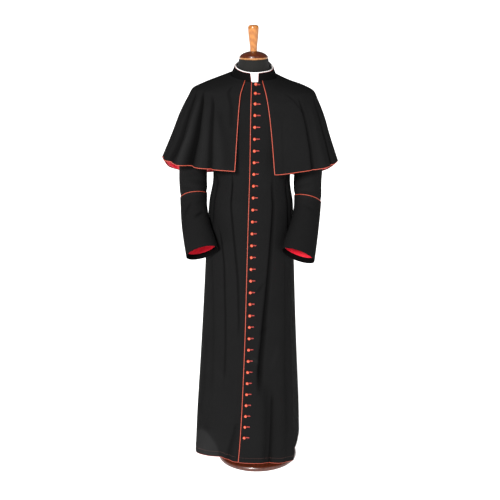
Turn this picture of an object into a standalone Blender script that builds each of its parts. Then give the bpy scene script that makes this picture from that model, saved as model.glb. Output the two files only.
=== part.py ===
"""A buttoned cassock with an elbow cape, on a limbless dress form with a turned base.

Metres, +Z up. The origin is the middle of the base's flat underside, the garment
faces -Y, and the wearer's left is +X. Cloth pieces are walls round sections that
the tables below give. "Turn" is the angle round the body from the middle of the
front towards the wearer's left, in radians unless a table says degrees.
"""
import math
from collections import namedtuple

import bmesh
import bpy
import numpy as np

# How many points each panel has across it
FRONT_STEPS = 11
BACK_STEPS = 25
COLLAR_STEPS = 24
CAPE_STEPS = 37

# Cloth and trims
CLOTH = 0.0020
LINING = 0.0010
SEAM_GAP = 0.0003
LAYER_GAP = 0.0006
FRONT_CORD = 0.0011
HEM_CORD = 0.0009
COLLAR_CORD = 0.0007

# How the garment hangs on its form: it leans a little towards the wearer's right
HANG_TURN = math.radians(1.8)
HANG_HEIGHT = 1.5

# Body of the cassock
ARMHOLE_X = 0.168
ARMHOLE_FOOT = 1.280
ARMHOLE_TOP = 1.455
ARMHOLE_LEAN = 0.18
NECK_HEIGHT = 1.500
NECK_RISE = 0.014
RISE_FROM = 1.440
RISE_OVER = 0.060
LEFT_FALL = 0.006
FALL_FROM = 1.420
FALL_OVER = 0.040
FALL_STARTS_X = 0.040
FALL_ENDS_X = 0.120
FALL_FADE = 0.080
UNDERLAP = 0.023
UNDERLAP_BLEND = 0.025
UNDERLAP_LEAD = 0.003

# Buttons
BUTTON_COUNT = 32
BUTTON_RADIUS = 0.0053
BUTTON_FLATTEN = 0.80
BUTTON_FROM_EDGE = 0.0135
FIRST_BUTTON_DROP = 0.0095
LAST_BUTTON_ABOVE_HEM = 0.1108
TOP_GAPS_SHORTER = 0.24
TOP_GAPS_FADE = 2.0

# Collar
COLLAR_WALL = 0.0025
COLLAR_HEIGHT = 0.0285
COLLAR_BACK_RISE = 0.0040
COLLAR_TOP_X = 0.0715
COLLAR_TOP_FRONT = 0.0745
COLLAR_TOP_BACK = 0.0725
COLLAR_EASE = 0.125
INSERT_WALL = 0.0012
INSERT_GAP = 0.0005
NOTCH_LEFT = 13.2
NOTCH_LEFT_LEAN = 2.8
NOTCH_RIGHT = -4.8
NOTCH_RIGHT_LEAN = -4.9
INSERT_ABOVE = 0.0042

# Cape
CAPE_TOP = 1.5040
CAPE_FOOT = 1.2080
CAPE_LINING_TOP = 1.4560
CAPE_LINING_BACK = 0.0015
CAPE_SHIFT = -0.008

# Sleeves and cuffs
SLEEVE_AROUND = 16
CUFF_UNDERLAP = 0.45
CUFF_LINING_FIRST_ROW = 2
CUFF_LINING_BACK = 0.16

# Dress form
POLE_RADIUS = 0.0125
POLE_FOOT = 0.0453
FORM_FOOT = 0.7600

Section = namedtuple("Section", "height half_width front back squareness")
BODY = (
    Section(0.065, 0.203, 0.193, 0.228, 2.20),
    Section(0.210, 0.198, 0.188, 0.218, 2.20),
    Section(0.413, 0.187, 0.180, 0.200, 2.20),
    Section(0.612, 0.1775, 0.168, 0.178, 2.20),
    Section(0.805, 0.169, 0.152, 0.153, 2.20),
    Section(1.040, 0.157, 0.128, 0.112, 2.20),
    Section(1.132, 0.1435, 0.119, 0.101, 2.20),
    Section(1.190, 0.1440, 0.120, 0.101, 2.25),
    Section(1.240, 0.156, 0.125, 0.108, 2.30),
    Section(1.280, 0.168, 0.129, 0.114, 2.35),
    Section(1.340, 0.190, 0.130, 0.117, 2.40),
    Section(1.400, 0.205, 0.124, 0.111, 2.40),
    Section(1.430, 0.207, 0.118, 0.104, 2.35),
    Section(1.455, 0.1995, 0.107, 0.094, 2.25),
    Section(1.470, 0.163, 0.1005, 0.088, 2.15),
    Section(1.485, 0.121, 0.094, 0.083, 2.05),
    Section(1.500, 0.0835, 0.0865, 0.079, 2.00),
)
BODY_ROWS = (0.065, 0.120, 0.210, 0.310, 0.413, 0.510, 0.612, 0.710, 0.805, 0.900, 0.985,
             1.060, 1.132, 1.190, 1.240, 1.280, 1.320, 1.365, 1.410, 1.438, 1.455, 1.470,
             1.485, 1.500)

# Front edge of the overlapping front: x at each height
EdgeRow = namedtuple("EdgeRow", "height x")
FRONT_EDGE = (
    EdgeRow(0.065, -0.0196),
    EdgeRow(0.169, -0.0137),
    EdgeRow(0.355, -0.0080),
    EdgeRow(0.606, -0.0042),
    EdgeRow(0.933, -0.0034),
    EdgeRow(1.219, -0.0018),
    EdgeRow(1.500, -0.0036),
)

# How much the hem is above or below its height, by degrees of turn
HemRow = namedtuple("HemRow", "degrees rise")
HEM = (
    HemRow(-180, 0.000), HemRow(-112, 0.002), HemRow(-96, -0.010), HemRow(-84, -0.020),
    HemRow(-72, -0.020), HemRow(-60, -0.009), HemRow(-48, 0.001), HemRow(-36, 0.007),
    HemRow(-24, 0.010), HemRow(-16, 0.002), HemRow(-8, -0.004), HemRow(0, -0.006),
    HemRow(12, -0.008), HemRow(24, -0.014), HemRow(36, -0.019), HemRow(48, -0.026),
    HemRow(60, -0.033), HemRow(72, -0.040), HemRow(82, -0.036), HemRow(96, -0.022),
    HemRow(110, -0.008), HemRow(130, 0.000), HemRow(180, 0.000),
)

# Folds: where each starts and ends, its half width, and its depth (troughs are negative)
Fold = namedtuple("Fold", "top top_degrees foot foot_degrees half_degrees top_depth foot_depth")
SKIRT_FOLDS = (
    Fold(1.120, -24, 0.540, -6, 5.0, -0.0030, -0.0030),
    Fold(1.050, -60, 0.860, -32, 5.5, -0.0040, -0.0040),
    Fold(0.860, -32, 0.065, -14, 6.0, -0.0040, -0.0060),
    Fold(0.210, -44, 0.065, -46, 14.0, 0.0000, 0.0100),
    Fold(0.700, -37, 0.065, -35, 8.0, 0.0000, 0.0060),
    Fold(0.700, -64, 0.065, -60, 10.0, 0.0000, 0.0080),
    Fold(0.850, -90, 0.065, -88, 9.0, 0.0000, -0.0110),
    Fold(1.100, 33, 0.300, 12, 5.5, -0.0050, -0.0090),
    Fold(0.420, 43, 0.065, 25, 6.0, -0.0010, -0.0085),
    Fold(0.800, 44, 0.065, 42, 8.0, 0.0000, 0.0060),
    Fold(0.750, 66, 0.065, 64, 9.0, 0.0000, 0.0130),
    Fold(0.900, 86, 0.065, 85, 8.0, -0.0010, -0.0120),
    Fold(0.900, 104, 0.065, 106, 9.0, 0.0000, 0.0180),
    Fold(1.080, 126, 0.065, 128, 8.0, -0.0020, -0.0150),
    Fold(1.080, 148, 0.065, 148, 9.0, 0.0020, 0.0120),
    Fold(1.100, 170, 0.065, 168, 8.0, -0.0030, -0.0140),
    Fold(1.080, -168, 0.065, -170, 9.0, 0.0020, 0.0120),
    Fold(1.090, -148, 0.065, -150, 8.0, -0.0030, -0.0140),
    Fold(1.060, -128, 0.065, -130, 9.0, 0.0000, 0.0120),
    Fold(0.980, -108, 0.065, -110, 8.0, -0.0020, -0.0130),
)

CAPE = (
    Section(1.208, 0.327, 0.157, 0.168, 2.05),
    Section(1.298, 0.292, 0.146, 0.148, 2.10),
    Section(1.374, 0.265, 0.1375, 0.132, 2.20),
    Section(1.432, 0.238, 0.1265, 0.115, 2.25),
    Section(1.458, 0.223, 0.1160, 0.104, 2.20),
    Section(1.474, 0.182, 0.1085, 0.097, 2.15),
    Section(1.490, 0.127, 0.1005, 0.090, 2.05),
    Section(1.504, 0.0852, 0.0882, 0.0807, 2.00),
)
CAPE_ROWS = (1.208, 1.235, 1.270, 1.310, 1.350, 1.390, 1.432, 1.456, 1.474, 1.490, 1.504)
CapeEdge = namedtuple("CapeEdge", "height left_x right_x")
CAPE_EDGES = (
    CapeEdge(1.208, 0.097, -0.050),
    CapeEdge(1.373, 0.071, -0.047),
    CapeEdge(1.451, 0.054, -0.044),
    CapeEdge(1.504, 0.035, -0.031),
)
CAPE_HEM = (
    HemRow(-180, -0.088), HemRow(-150, -0.088), HemRow(-136, -0.078), HemRow(-122, -0.068),
    HemRow(-112, -0.054), HemRow(-100, -0.024), HemRow(-88, -0.003),
    HemRow(-60, -0.010), HemRow(-35, -0.014), HemRow(-10, -0.018), HemRow(15, -0.028),
    HemRow(35, -0.018), HemRow(60, -0.008), HemRow(88, 0.004), HemRow(108, -0.026),
    HemRow(122, -0.056), HemRow(135, -0.068), HemRow(150, -0.088), HemRow(180, -0.088),
)
CAPE_FOLDS = (
    Fold(1.480, -22, 1.208, -19, 4.0, 0.0000, -0.0030),
    Fold(1.400, -31, 1.160, -26, 4.0, 0.0000, -0.0050),
    Fold(1.470, -44, 1.160, -37, 4.5, -0.0010, -0.0110),
    Fold(1.420, -58, 1.160, -51, 7.0, 0.0000, 0.0070),
    Fold(1.450, -72, 1.160, -67, 6.0, -0.0010, -0.0100),
    Fold(1.440, 46, 1.160, 41, 5.5, -0.0010, -0.0070),
    Fold(1.420, 56, 1.160, 52, 6.0, 0.0000, 0.0040),
    Fold(1.450, 68, 1.160, 64, 5.5, -0.0010, -0.0090),
    Fold(1.420, 110, 1.160, 111, 8.0, 0.0000, 0.0050),
    Fold(1.420, 132, 1.160, 133, 8.0, -0.0010, -0.0110),
    Fold(1.430, 155, 1.160, 156, 9.0, 0.0000, 0.0090),
    Fold(1.430, 178, 1.160, 178, 8.0, -0.0010, -0.0110),
    Fold(1.430, -158, 1.160, -157, 9.0, 0.0000, 0.0090),
    Fold(1.420, -136, 1.160, -136, 8.0, -0.0010, -0.0110),
    Fold(1.430, -112, 1.160, -113, 9.0, 0.0000, 0.0060),
)

# Sleeve rings from the armhole to the wrist, for the wearer's left. Each has the
# points that the front view shows on its body side and on its outer side, its
# middle's y, half of its front-to-back depth, and how far the arm leans forward.
Ring = namedtuple("Ring", "place body_x body_z outer_x outer_z middle_y half_depth lean_degrees")
ARM = (
    Ring(0, 0.1685, 1.2800, 0.2000, 1.4550, 0.000, 0.066, 0),
    Ring(1, 0.1720, 1.2680, 0.2230, 1.4380, 0.000, 0.067, 0),
    Ring(2, 0.1705, 1.2500, 0.2400, 1.4050, 0.000, 0.066, 0),
    Ring(3, 0.1685, 1.2280, 0.2550, 1.3550, 0.000, 0.064, 0),
    Ring(4, 0.1665, 1.2050, 0.2640, 1.2950, 0.000, 0.062, 0),
    Ring(5, 0.1640, 1.1750, 0.2670, 1.2250, 0.000, 0.060, 0),
    Ring(6, 0.1615, 1.1320, 0.2660, 1.1400, 0.000, 0.059, 2),
    Ring(7, 0.1615, 1.1000, 0.2655, 1.0950, -0.001, 0.058, 7),
    Ring(8, 0.1625, 1.0700, 0.2645, 1.0580, -0.007, 0.058, 16),
    Ring(9, 0.1620, 1.0400, 0.2620, 1.0240, -0.025, 0.057, 27),
    Ring(10, 0.1560, 1.0060, 0.2580, 0.9860, -0.053, 0.057, 35),
    Ring(11, 0.1445, 0.9680, 0.2520, 0.9440, -0.084, 0.056, 38),
    Ring(12, 0.1290, 0.9320, 0.2445, 0.9010, -0.114, 0.055, 38),
    Ring(13, 0.1165, 0.8970, 0.2360, 0.8590, -0.144, 0.055, 38),
)
WRIST = len(ARM) - 1

# Both arms' sideways sway at each height
SWAY = (
    EdgeRow(0.860, 0.006),
    EdgeRow(0.970, 0.000),
    EdgeRow(1.060, -0.002),
    EdgeRow(1.130, -0.005),
    EdgeRow(1.250, 0.000),
)
ARMHOLE_BLEND = 1.0
CUFF_TOP = 8.10
CUFF_TOP_SLANT = 0.15
CUFF_TOP_ARCH = 0.35

FORM = (
    Section(0.760, 0.122, 0.100, 0.094, 2.1),
    Section(0.800, 0.132, 0.112, 0.104, 2.1),
    Section(0.900, 0.136, 0.116, 0.108, 2.1),
    Section(1.000, 0.133, 0.108, 0.100, 2.1),
    Section(1.100, 0.122, 0.100, 0.089, 2.1),
    Section(1.160, 0.121, 0.101, 0.088, 2.1),
    Section(1.240, 0.138, 0.108, 0.096, 2.2),
    Section(1.340, 0.160, 0.114, 0.103, 2.3),
    Section(1.400, 0.176, 0.109, 0.098, 2.3),
    Section(1.428, 0.181, 0.102, 0.091, 2.25),
    Section(1.449, 0.1745, 0.095, 0.083, 2.2),
    Section(1.4655, 0.1577, 0.088, 0.077, 2.1),
    Section(1.4820, 0.1203, 0.079, 0.072, 2.0),
    Section(1.4970, 0.084, 0.071, 0.068, 2.0),
    Section(1.5060, 0.0680, 0.0660, 0.0650, 2.0),
    Section(1.540, 0.0620, 0.0615, 0.0615, 2.0),
    Section(1.5725, 0.0535, 0.0535, 0.0535, 2.0),
)
FORM_AROUND = 24

# Turned pieces: radius and height down each profile
NECK_CAP = ((0.0100, 1.6000), (0.0180, 1.5992), (0.0330, 1.5950), (0.0455, 1.5880),
            (0.0515, 1.5820), (0.0525, 1.5775), (0.0510, 1.5730))
FINIAL = ((0.0060, 1.6935), (0.0125, 1.6915), (0.0172, 1.6850), (0.0186, 1.6765),
          (0.0180, 1.6660), (0.0160, 1.6480), (0.0135, 1.6280), (0.0120, 1.6120),
          (0.0124, 1.6003))
BASE = ((0.0180, 0.0450), (0.0450, 0.0430), (0.0850, 0.0375), (0.1200, 0.0300),
        (0.1430, 0.0235), (0.1530, 0.0170), (0.1550, 0.0100), (0.1535, 0.0030),
        (0.1500, 0.0000))

# Colours of the pieces: red, green, blue, roughness, metallic
Finish = namedtuple("Finish", "red green blue roughness metallic")
FINISHES = {
    "black_wool": Finish(0.018, 0.018, 0.020, 0.85, 0.0),
    "red_satin": Finish(0.720, 0.075, 0.050, 0.45, 0.0),
    "red_lining": Finish(0.700, 0.020, 0.035, 0.50, 0.0),
    "white_linen": Finish(0.900, 0.890, 0.870, 0.60, 0.0),
    "form_cloth": Finish(0.022, 0.021, 0.022, 0.90, 0.0),
    "dark_wood": Finish(0.140, 0.030, 0.016, 0.25, 0.0),
    "honey_wood": Finish(0.560, 0.200, 0.045, 0.30, 0.0),
    "pole_steel": Finish(0.550, 0.550, 0.560, 0.30, 1.0),
}


def clear_scene():
    """Empty the file of the objects that it opened with."""
    for thing in list(bpy.data.objects):
        bpy.data.objects.remove(thing, do_unlink=True)


def finish(name):
    """The material of that name, made the first time it is asked for."""
    material = bpy.data.materials.get(name)
    if material is None:
        tint = FINISHES[name]
        material = bpy.data.materials.new(name)
        material.use_nodes = True
        shader = material.node_tree.nodes["Principled BSDF"]
        shader.inputs["Base Color"].default_value = (tint.red, tint.green, tint.blue, 1.0)
        shader.inputs["Roughness"].default_value = tint.roughness
        shader.inputs["Metallic"].default_value = tint.metallic
    return material


def ease(value):
    """0 below 0, 1 above 1, and a smooth step between them."""
    value = np.clip(value, 0.0, 1.0)
    return value * value * (3.0 - 2.0 * value)


def along(rows, key, column, value):
    """A table's column at the given key values, on a smooth curve through its rows."""
    keys = np.array([getattr(row, key) for row in rows], float)
    values = np.array([getattr(row, column) for row in rows], float)
    order = np.argsort(keys)
    keys = keys[order]
    values = values[order]
    steps = np.diff(values) / np.diff(keys)
    slopes = np.empty_like(values)
    slopes[0] = steps[0]
    slopes[-1] = steps[-1]
    level = steps[:-1] * steps[1:] > 0
    means = 2.0 * steps[:-1] * steps[1:] / np.where(level, steps[:-1] + steps[1:], 1.0)
    slopes[1:-1] = np.where(level, means, 0.0)
    value = np.clip(np.asarray(value, float), keys[0], keys[-1])
    place = np.clip(np.searchsorted(keys, value) - 1, 0, len(keys) - 2)
    width = keys[place + 1] - keys[place]
    part = (value - keys[place]) / width
    rest = 1.0 - part
    return (values[place] * (1 + 2 * part) * rest ** 2
            + values[place + 1] * (3 - 2 * part) * part ** 2
            + width * part * rest * (slopes[place] * rest - slopes[place + 1] * part))


def power(value, exponent):
    """A signed power: the sign of the value, with its size raised to the exponent."""
    return np.sign(value) * np.abs(value) ** exponent


def folds_at(folds, turn, height):
    """Sum of the folds: a bell across each one, eased in at its top and at its foot."""
    total = np.zeros(np.broadcast(turn, height).shape)
    for fold in folds:
        down = np.clip((fold.top - height) / (fold.top - fold.foot), 0.0, 1.0)
        middle = np.radians(fold.top_degrees + down * (fold.foot_degrees - fold.top_degrees))
        across = (turn - middle + math.pi) % (2 * math.pi) - math.pi
        bell = np.exp(-(across / math.radians(fold.half_degrees)) ** 2)
        depth = fold.top_depth + down * (fold.foot_depth - fold.top_depth)
        inside = ease((fold.top + 0.03 - height) / 0.12)
        ended = ease((height - fold.foot + 0.06) / 0.10)
        total = total + depth * bell * inside * ended
    return total


def section_point(rows, turn, height, swell):
    """A point on a superellipse section, moved out by the swell along its normal."""
    half_width = along(rows, "height", "half_width", height)
    front = along(rows, "height", "front", height)
    back = along(rows, "height", "back", height)
    square = along(rows, "height", "squareness", height)
    sine = np.sin(turn)
    cosine = np.cos(turn)
    depth = np.where(cosine >= 0, front, back)
    x = half_width * power(sine, 2 / square)
    y = -depth * power(cosine, 2 / square)
    normal_x = power(sine, 2 - 2 / square) / half_width
    normal_y = -power(cosine, 2 - 2 / square) / depth
    length = np.hypot(normal_x, normal_y)
    return x + swell * normal_x / length, y + swell * normal_y / length


def neck_lift(x, turn, height):
    """How far the shoulders' sections rise towards the back of the neck, less what the
    wearer's left shoulder falls."""
    rise = NECK_RISE * (1 - np.cos(turn)) * ease((height - RISE_FROM) / RISE_OVER)
    near_neck = ease((x - FALL_STARTS_X) / RISE_OVER) * (1 - ease((x - FALL_ENDS_X) / FALL_FADE))
    return rise - LEFT_FALL * near_neck * ease((height - FALL_FROM) / FALL_OVER)


def body_surface(turn, height):
    """The cassock's outer surface: sections from hem to neck, with its skirt folds."""
    turn, height = np.broadcast_arrays(np.asarray(turn, float), np.asarray(height, float))
    wrapped = (turn + math.pi) % (2 * math.pi) - math.pi
    x, y = section_point(BODY, wrapped, height, folds_at(SKIRT_FOLDS, wrapped, height))
    hem = along(HEM, "degrees", "rise", np.degrees(wrapped)) * ease((0.45 - height) / 0.385)
    return np.stack([x, y, height + hem + neck_lift(x, wrapped, height)], -1)


def cape_surface(turn, height):
    """The cape's outer surface: shoulders, then a flare that ends in an uneven hem."""
    turn, height = np.broadcast_arrays(np.asarray(turn, float), np.asarray(height, float))
    wrapped = (turn + math.pi) % (2 * math.pi) - math.pi
    x, y = section_point(CAPE, wrapped, height, folds_at(CAPE_FOLDS, wrapped, height))
    fall = ((CAPE_TOP - height) / (CAPE_TOP - CAPE_FOOT)) ** 2
    hem = along(CAPE_HEM, "degrees", "rise", np.degrees(wrapped)) * fall
    return np.stack([x + CAPE_SHIFT * np.sqrt(fall), y,
                     height + hem + neck_lift(x, wrapped, height)], -1)


def collar_surface(turn, share):
    """The collar's outer surface, from its foot (share 0) to its top edge (share 1)."""
    turn, share = np.broadcast_arrays(np.asarray(turn, float), np.asarray(share, float))
    foot = body_surface(turn, NECK_HEIGHT)
    top_x = COLLAR_TOP_X * np.sin(turn)
    top_y = np.where(np.cos(turn) >= 0, -COLLAR_TOP_FRONT, -COLLAR_TOP_BACK) * np.cos(turn)
    height = COLLAR_HEIGHT + COLLAR_BACK_RISE * (1 - np.cos(turn))
    lean = ease(COLLAR_EASE + share * (1 - 2 * COLLAR_EASE))
    lean = (lean - ease(COLLAR_EASE)) / (ease(1 - COLLAR_EASE) - ease(COLLAR_EASE))
    x = foot[..., 0] + (top_x - foot[..., 0]) * lean
    y = foot[..., 1] + (top_y - foot[..., 1]) * lean
    return np.stack([x, y, foot[..., 2] + SEAM_GAP + height * share], -1)


def arm_surface(around, place):
    """The sleeve's outer surface: an oval ring at each place from armhole to wrist."""
    around, place = np.broadcast_arrays(np.asarray(around, float), np.asarray(place, float))
    body_x, body_z, outer_x, outer_z, middle_y, half_depth, lean_degrees = (
        along(ARM, "place", column, place) for column in Ring._fields[1:])
    lean = np.radians(lean_degrees)
    wide = np.cos(around)
    deep = np.sin(around)
    x = (body_x + outer_x) / 2 + wide * (outer_x - body_x) / 2
    y = middle_y + deep * half_depth * np.cos(lean)
    z = (body_z + outer_z) / 2 + wide * (outer_z - body_z) / 2 - deep * half_depth * np.sin(lean)
    ring = np.stack([x, y, z], -1)
    hole = armhole_point(around)
    return ring + (hole - ring) * (1 - ease(place / ARMHOLE_BLEND))[..., None]


def armhole_point(around):
    """A point of the armhole's edge, where the body's sections meet a leaning plane."""
    height = ((ARMHOLE_FOOT + ARMHOLE_TOP) / 2
              + np.cos(around) * (ARMHOLE_TOP - ARMHOLE_FOOT) / 2)
    turn = side_turn(height, np.sin(around) < 0)
    point = body_surface(np.where(np.sin(around) < 0, turn, math.pi - turn), height)
    point[..., 0] = point[..., 0] + LAYER_GAP
    point[..., 1] = np.where(np.abs(np.sin(around)) < 1e-6, 0.0, point[..., 1])
    return point


def side_turn(height, in_front):
    """Turn, from the front or from the back, at which a panel ends at its side seam or
    at the armhole's plane."""
    half_width = along(BODY, "height", "half_width", height)
    square = along(BODY, "height", "squareness", height)
    depth = np.where(in_front, along(BODY, "height", "front", height),
                     along(BODY, "height", "back", height))
    seam = np.arccos((SEAM_GAP / 2 / depth) ** (square / 2))
    plane = ARMHOLE_X + ARMHOLE_LEAN * (height - ARMHOLE_FOOT)
    cut = (height >= ARMHOLE_FOOT) & (height <= ARMHOLE_TOP)
    share = np.where(cut, np.minimum(plane / half_width, 1.0), 1.0)
    return np.minimum(np.arcsin(share ** (square / 2)), seam)


def turn_at(rows, x, height):
    """The turn at which a section has that x, in its front half."""
    half_width = along(rows, "height", "half_width", height)
    square = along(rows, "height", "squareness", height)
    share = x / half_width
    return np.arcsin(power(share, square / 2))


def normals(surface, first, second):
    """Unit normals of a surface of two parameters, from small steps either way."""
    step = 1e-4
    one = surface(first + step, second) - surface(first - step, second)
    two = surface(first, second + step) - surface(first, second - step)
    normal = np.cross(one, two)
    return normal / np.linalg.norm(normal, axis=-1, keepdims=True)


def hang(points):
    """Garment points turned about the collar's middle, as the garment hangs."""
    lean = math.sin(HANG_TURN)
    keep = math.cos(HANG_TURN)
    x = points[..., 0]
    rise = points[..., 2] - HANG_HEIGHT
    return np.stack([x * keep + rise * lean, points[..., 1],
                     HANG_HEIGHT - x * lean + rise * keep], -1)


def add_mesh(name, points, faces, material):
    """An object from points and faces, turned outwards and shaded smooth."""
    mesh = bpy.data.meshes.new(name)
    mesh.from_pydata([tuple(point) for point in points], [], faces)
    shape = bmesh.new()
    shape.from_mesh(mesh)
    bmesh.ops.recalc_face_normals(shape, faces=shape.faces)
    if shape.calc_volume(signed=True) < 0:
        bmesh.ops.reverse_faces(shape, faces=shape.faces)
    shape.to_mesh(mesh)
    shape.free()
    mesh.shade_smooth()
    mesh.set_sharp_from_angle(angle=math.radians(40))
    mesh.materials.append(finish(material))
    thing = bpy.data.objects.new(name, mesh)
    bpy.context.collection.objects.link(thing)
    return thing


def add_wall(name, outer, inner, material, ring=False):
    """A wall of cloth between two grids of points, closed along its edges. A ring's
    columns go all the way round. Every square is cut on the same diagonal, so that
    walls which lie on each other stay parallel."""
    rows, columns = outer.shape[:2]
    points = np.concatenate([outer.reshape(-1, 3), inner.reshape(-1, 3)])
    other = rows * columns
    spans = columns if ring else columns - 1
    faces = []
    for row in range(rows - 1):
        for column in range(spans):
            near = (column + 1) % columns
            a = row * columns + column
            b = row * columns + near
            c = (row + 1) * columns + near
            d = (row + 1) * columns + column
            for one, two, three in ((a, b, c), (a, c, d)):
                faces.append((one, two, three))
                faces.append((other + three, other + two, other + one))
    for column in range(spans):
        near = (column + 1) % columns
        last = (rows - 1) * columns
        faces.append((column, other + column, other + near, near))
        faces.append((last + near, other + last + near, other + last + column, last + column))
    if not ring:
        for row in range(rows - 1):
            a = row * columns
            d = (row + 1) * columns
            end = columns - 1
            faces.append((a, d, other + d, other + a))
            faces.append((a + end, other + a + end, other + d + end, d + end))
    return add_mesh(name, points, faces, material)


def add_cord(name, path, out, radius, material, ring=False):
    """A round trim cord, four-sided, along a path. Out is each point's normal."""
    tangent = np.gradient(path, axis=0)
    if ring:
        tangent = np.roll(path, -1, axis=0) - np.roll(path, 1, axis=0)
    tangent = tangent / np.linalg.norm(tangent, axis=1, keepdims=True)
    side = np.cross(tangent, out)
    side = side / np.linalg.norm(side, axis=1, keepdims=True)
    up = np.cross(side, tangent)
    sides = 4
    angles = np.arange(sides) * 2 * math.pi / sides
    rings = (path[:, None] + radius * (np.cos(angles)[None, :, None] * side[:, None]
                                       + np.sin(angles)[None, :, None] * up[:, None]))
    count = len(path)
    spans = count if ring else count - 1
    faces = []
    for step in range(spans):
        here = step * sides
        there = ((step + 1) % count) * sides
        for corner in range(sides):
            near = (corner + 1) % sides
            faces.append((here + corner, here + near, there + near, there + corner))
    if not ring:
        faces.append(tuple(range(sides)))
        faces.append(tuple((count - 1) * sides + corner for corner in range(sides)))
    return add_mesh(name, rings.reshape(-1, 3), faces, material)


def add_turned(name, profile, around, material):
    """A turned piece: its profile spun about the upright axis and closed at both ends."""
    angles = np.arange(around) * 2 * math.pi / around
    points = []
    for radius, height in profile:
        for angle in angles:
            points.append((radius * math.cos(angle), radius * math.sin(angle), height))
    faces = [tuple(range(around)),
             tuple((len(profile) - 1) * around + step for step in range(around))]
    for row in range(len(profile) - 1):
        for step in range(around):
            near = (step + 1) % around
            faces.append((row * around + step, row * around + near,
                          (row + 1) * around + near, (row + 1) * around + step))
    return add_mesh(name, points, faces, material)


def edge_mid(outer, inner):
    """Middle of a wall's thickness."""
    return (outer + inner) / 2


def away(path, inside):
    """Unit steps from points inside an edge to the edge itself, and on past it."""
    step = path - inside
    return step / np.linalg.norm(step, axis=-1, keepdims=True)


def make_fronts_and_back():
    """The two fronts and the back, with the cord on the front edge, the cord under the
    hem, and the buttons."""
    heights = np.array(BODY_ROWS)[:, None]
    edge_x = along(FRONT_EDGE, "height", "x", heights)

    edge = turn_at(BODY, edge_x, heights)
    buttons = turn_at(BODY, edge_x + BUTTON_FROM_EDGE, heights)
    side = side_turn(heights, True)
    under_end = turn_at(BODY, edge_x + UNDERLAP, heights)
    share = np.linspace(0.0, 1.0, FRONT_STEPS)[None, :]
    left = np.concatenate([edge, buttons, under_end + (side - under_end) * share], 1)
    left_out = body_surface(left, heights)
    left_normal = normals(body_surface, left, heights)
    left_in = left_out - CLOTH * left_normal
    add_wall("front_left", hang(left_out), hang(left_in), "black_wool")

    under_full = turn_at(BODY, edge_x - UNDERLAP_LEAD, heights)
    under_start = turn_at(BODY, edge_x - UNDERLAP_LEAD - UNDERLAP_BLEND, heights)
    share = np.linspace(0.0, 1.0, FRONT_STEPS - 1)[None, :]
    under = (under_full, edge, buttons, under_end)
    right = np.concatenate([-side + (under_start + side) * share, *under], 1)
    sunk = np.zeros_like(right)
    sunk[:, -len(under):] = CLOTH + LAYER_GAP
    right_normal = normals(body_surface, right, heights)
    right_out = body_surface(right, heights) - sunk[..., None] * right_normal
    right_in = right_out - CLOTH * right_normal
    add_wall("front_right", hang(right_out), hang(right_in), "black_wool")

    start = math.pi - side_turn(heights, False)
    end = 2 * math.pi - start
    share = np.linspace(0.0, 1.0, BACK_STEPS)[None, :]
    back = start + (end - start) * share
    back_normal = normals(body_surface, back, heights)
    back_out = body_surface(back, heights)
    back_in = back_out - CLOTH * back_normal
    add_wall("back", hang(back_out), hang(back_in), "black_wool")

    middle = edge_mid(left_out, left_in)
    out = away(middle[:, 0], middle[:, 1])
    path = middle[:, 0] + out * (FRONT_CORD + SEAM_GAP)
    add_cord("front_piping", hang(path), left_normal[:, 0], FRONT_CORD, "red_satin")

    hem = []
    hem_normal = []
    for outer, inner, normal in ((left_out, left_in, left_normal),
                                 (back_out, back_in, back_normal),
                                 (right_out, right_in, right_normal)):
        wall = edge_mid(outer, inner)
        down = away(wall[0], wall[1])
        hem.append(wall[0] + down * (HEM_CORD + SEAM_GAP))
        hem_normal.append(normal[0])
    hem[0] = hem[0][1:]
    hem_normal[0] = hem_normal[0][1:]
    add_cord("hem_piping", hang(np.concatenate(hem)), np.concatenate(hem_normal), HEM_CORD,
             "red_satin")
    make_buttons(left_out[:, 1], left_normal[:, 1])


def make_buttons(line, line_normal):
    """Cloth-covered ball buttons down the line, just clear of the cloth. The gaps near
    the top are shorter by a share that fades as exp(-number / fade)."""
    lengths = np.concatenate([[0.0], np.cumsum(np.linalg.norm(np.diff(line, axis=0), axis=1))])
    first = lengths[-1] - FIRST_BUTTON_DROP
    last = LAST_BUTTON_ABOVE_HEM
    height = BUTTON_RADIUS * BUTTON_FLATTEN
    gaps = 1 - TOP_GAPS_SHORTER * np.exp(-np.arange(BUTTON_COUNT - 1) / TOP_GAPS_FADE)
    down = np.concatenate([[0.0], np.cumsum(gaps)]) / gaps.sum()
    for number in range(BUTTON_COUNT):
        distance = first + (last - first) * down[number]
        seat = np.array([np.interp(distance, lengths, line[:, axis]) for axis in range(3)])
        out = np.array([np.interp(distance, lengths, line_normal[:, axis])
                        for axis in range(3)])
        out = out / np.linalg.norm(out)
        side = np.cross(out, (0.0, 0.0, 1.0))
        side = side / np.linalg.norm(side)
        up = np.cross(side, out)
        centre = seat + out * (height + SEAM_GAP)
        ball = bmesh.new()
        bmesh.ops.create_uvsphere(ball, u_segments=8, v_segments=4, radius=1.0)
        shape = np.array([vertex.co for vertex in ball.verts])
        faces = [tuple(vertex.index for vertex in face.verts) for face in ball.faces]
        ball.free()
        points = (centre + BUTTON_RADIUS * (shape[:, :1] * side + shape[:, 1:2] * up)
                  + height * shape[:, 2:] * out)
        add_mesh("button_%02d" % (number + 1), hang(points), faces, "red_satin")


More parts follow.
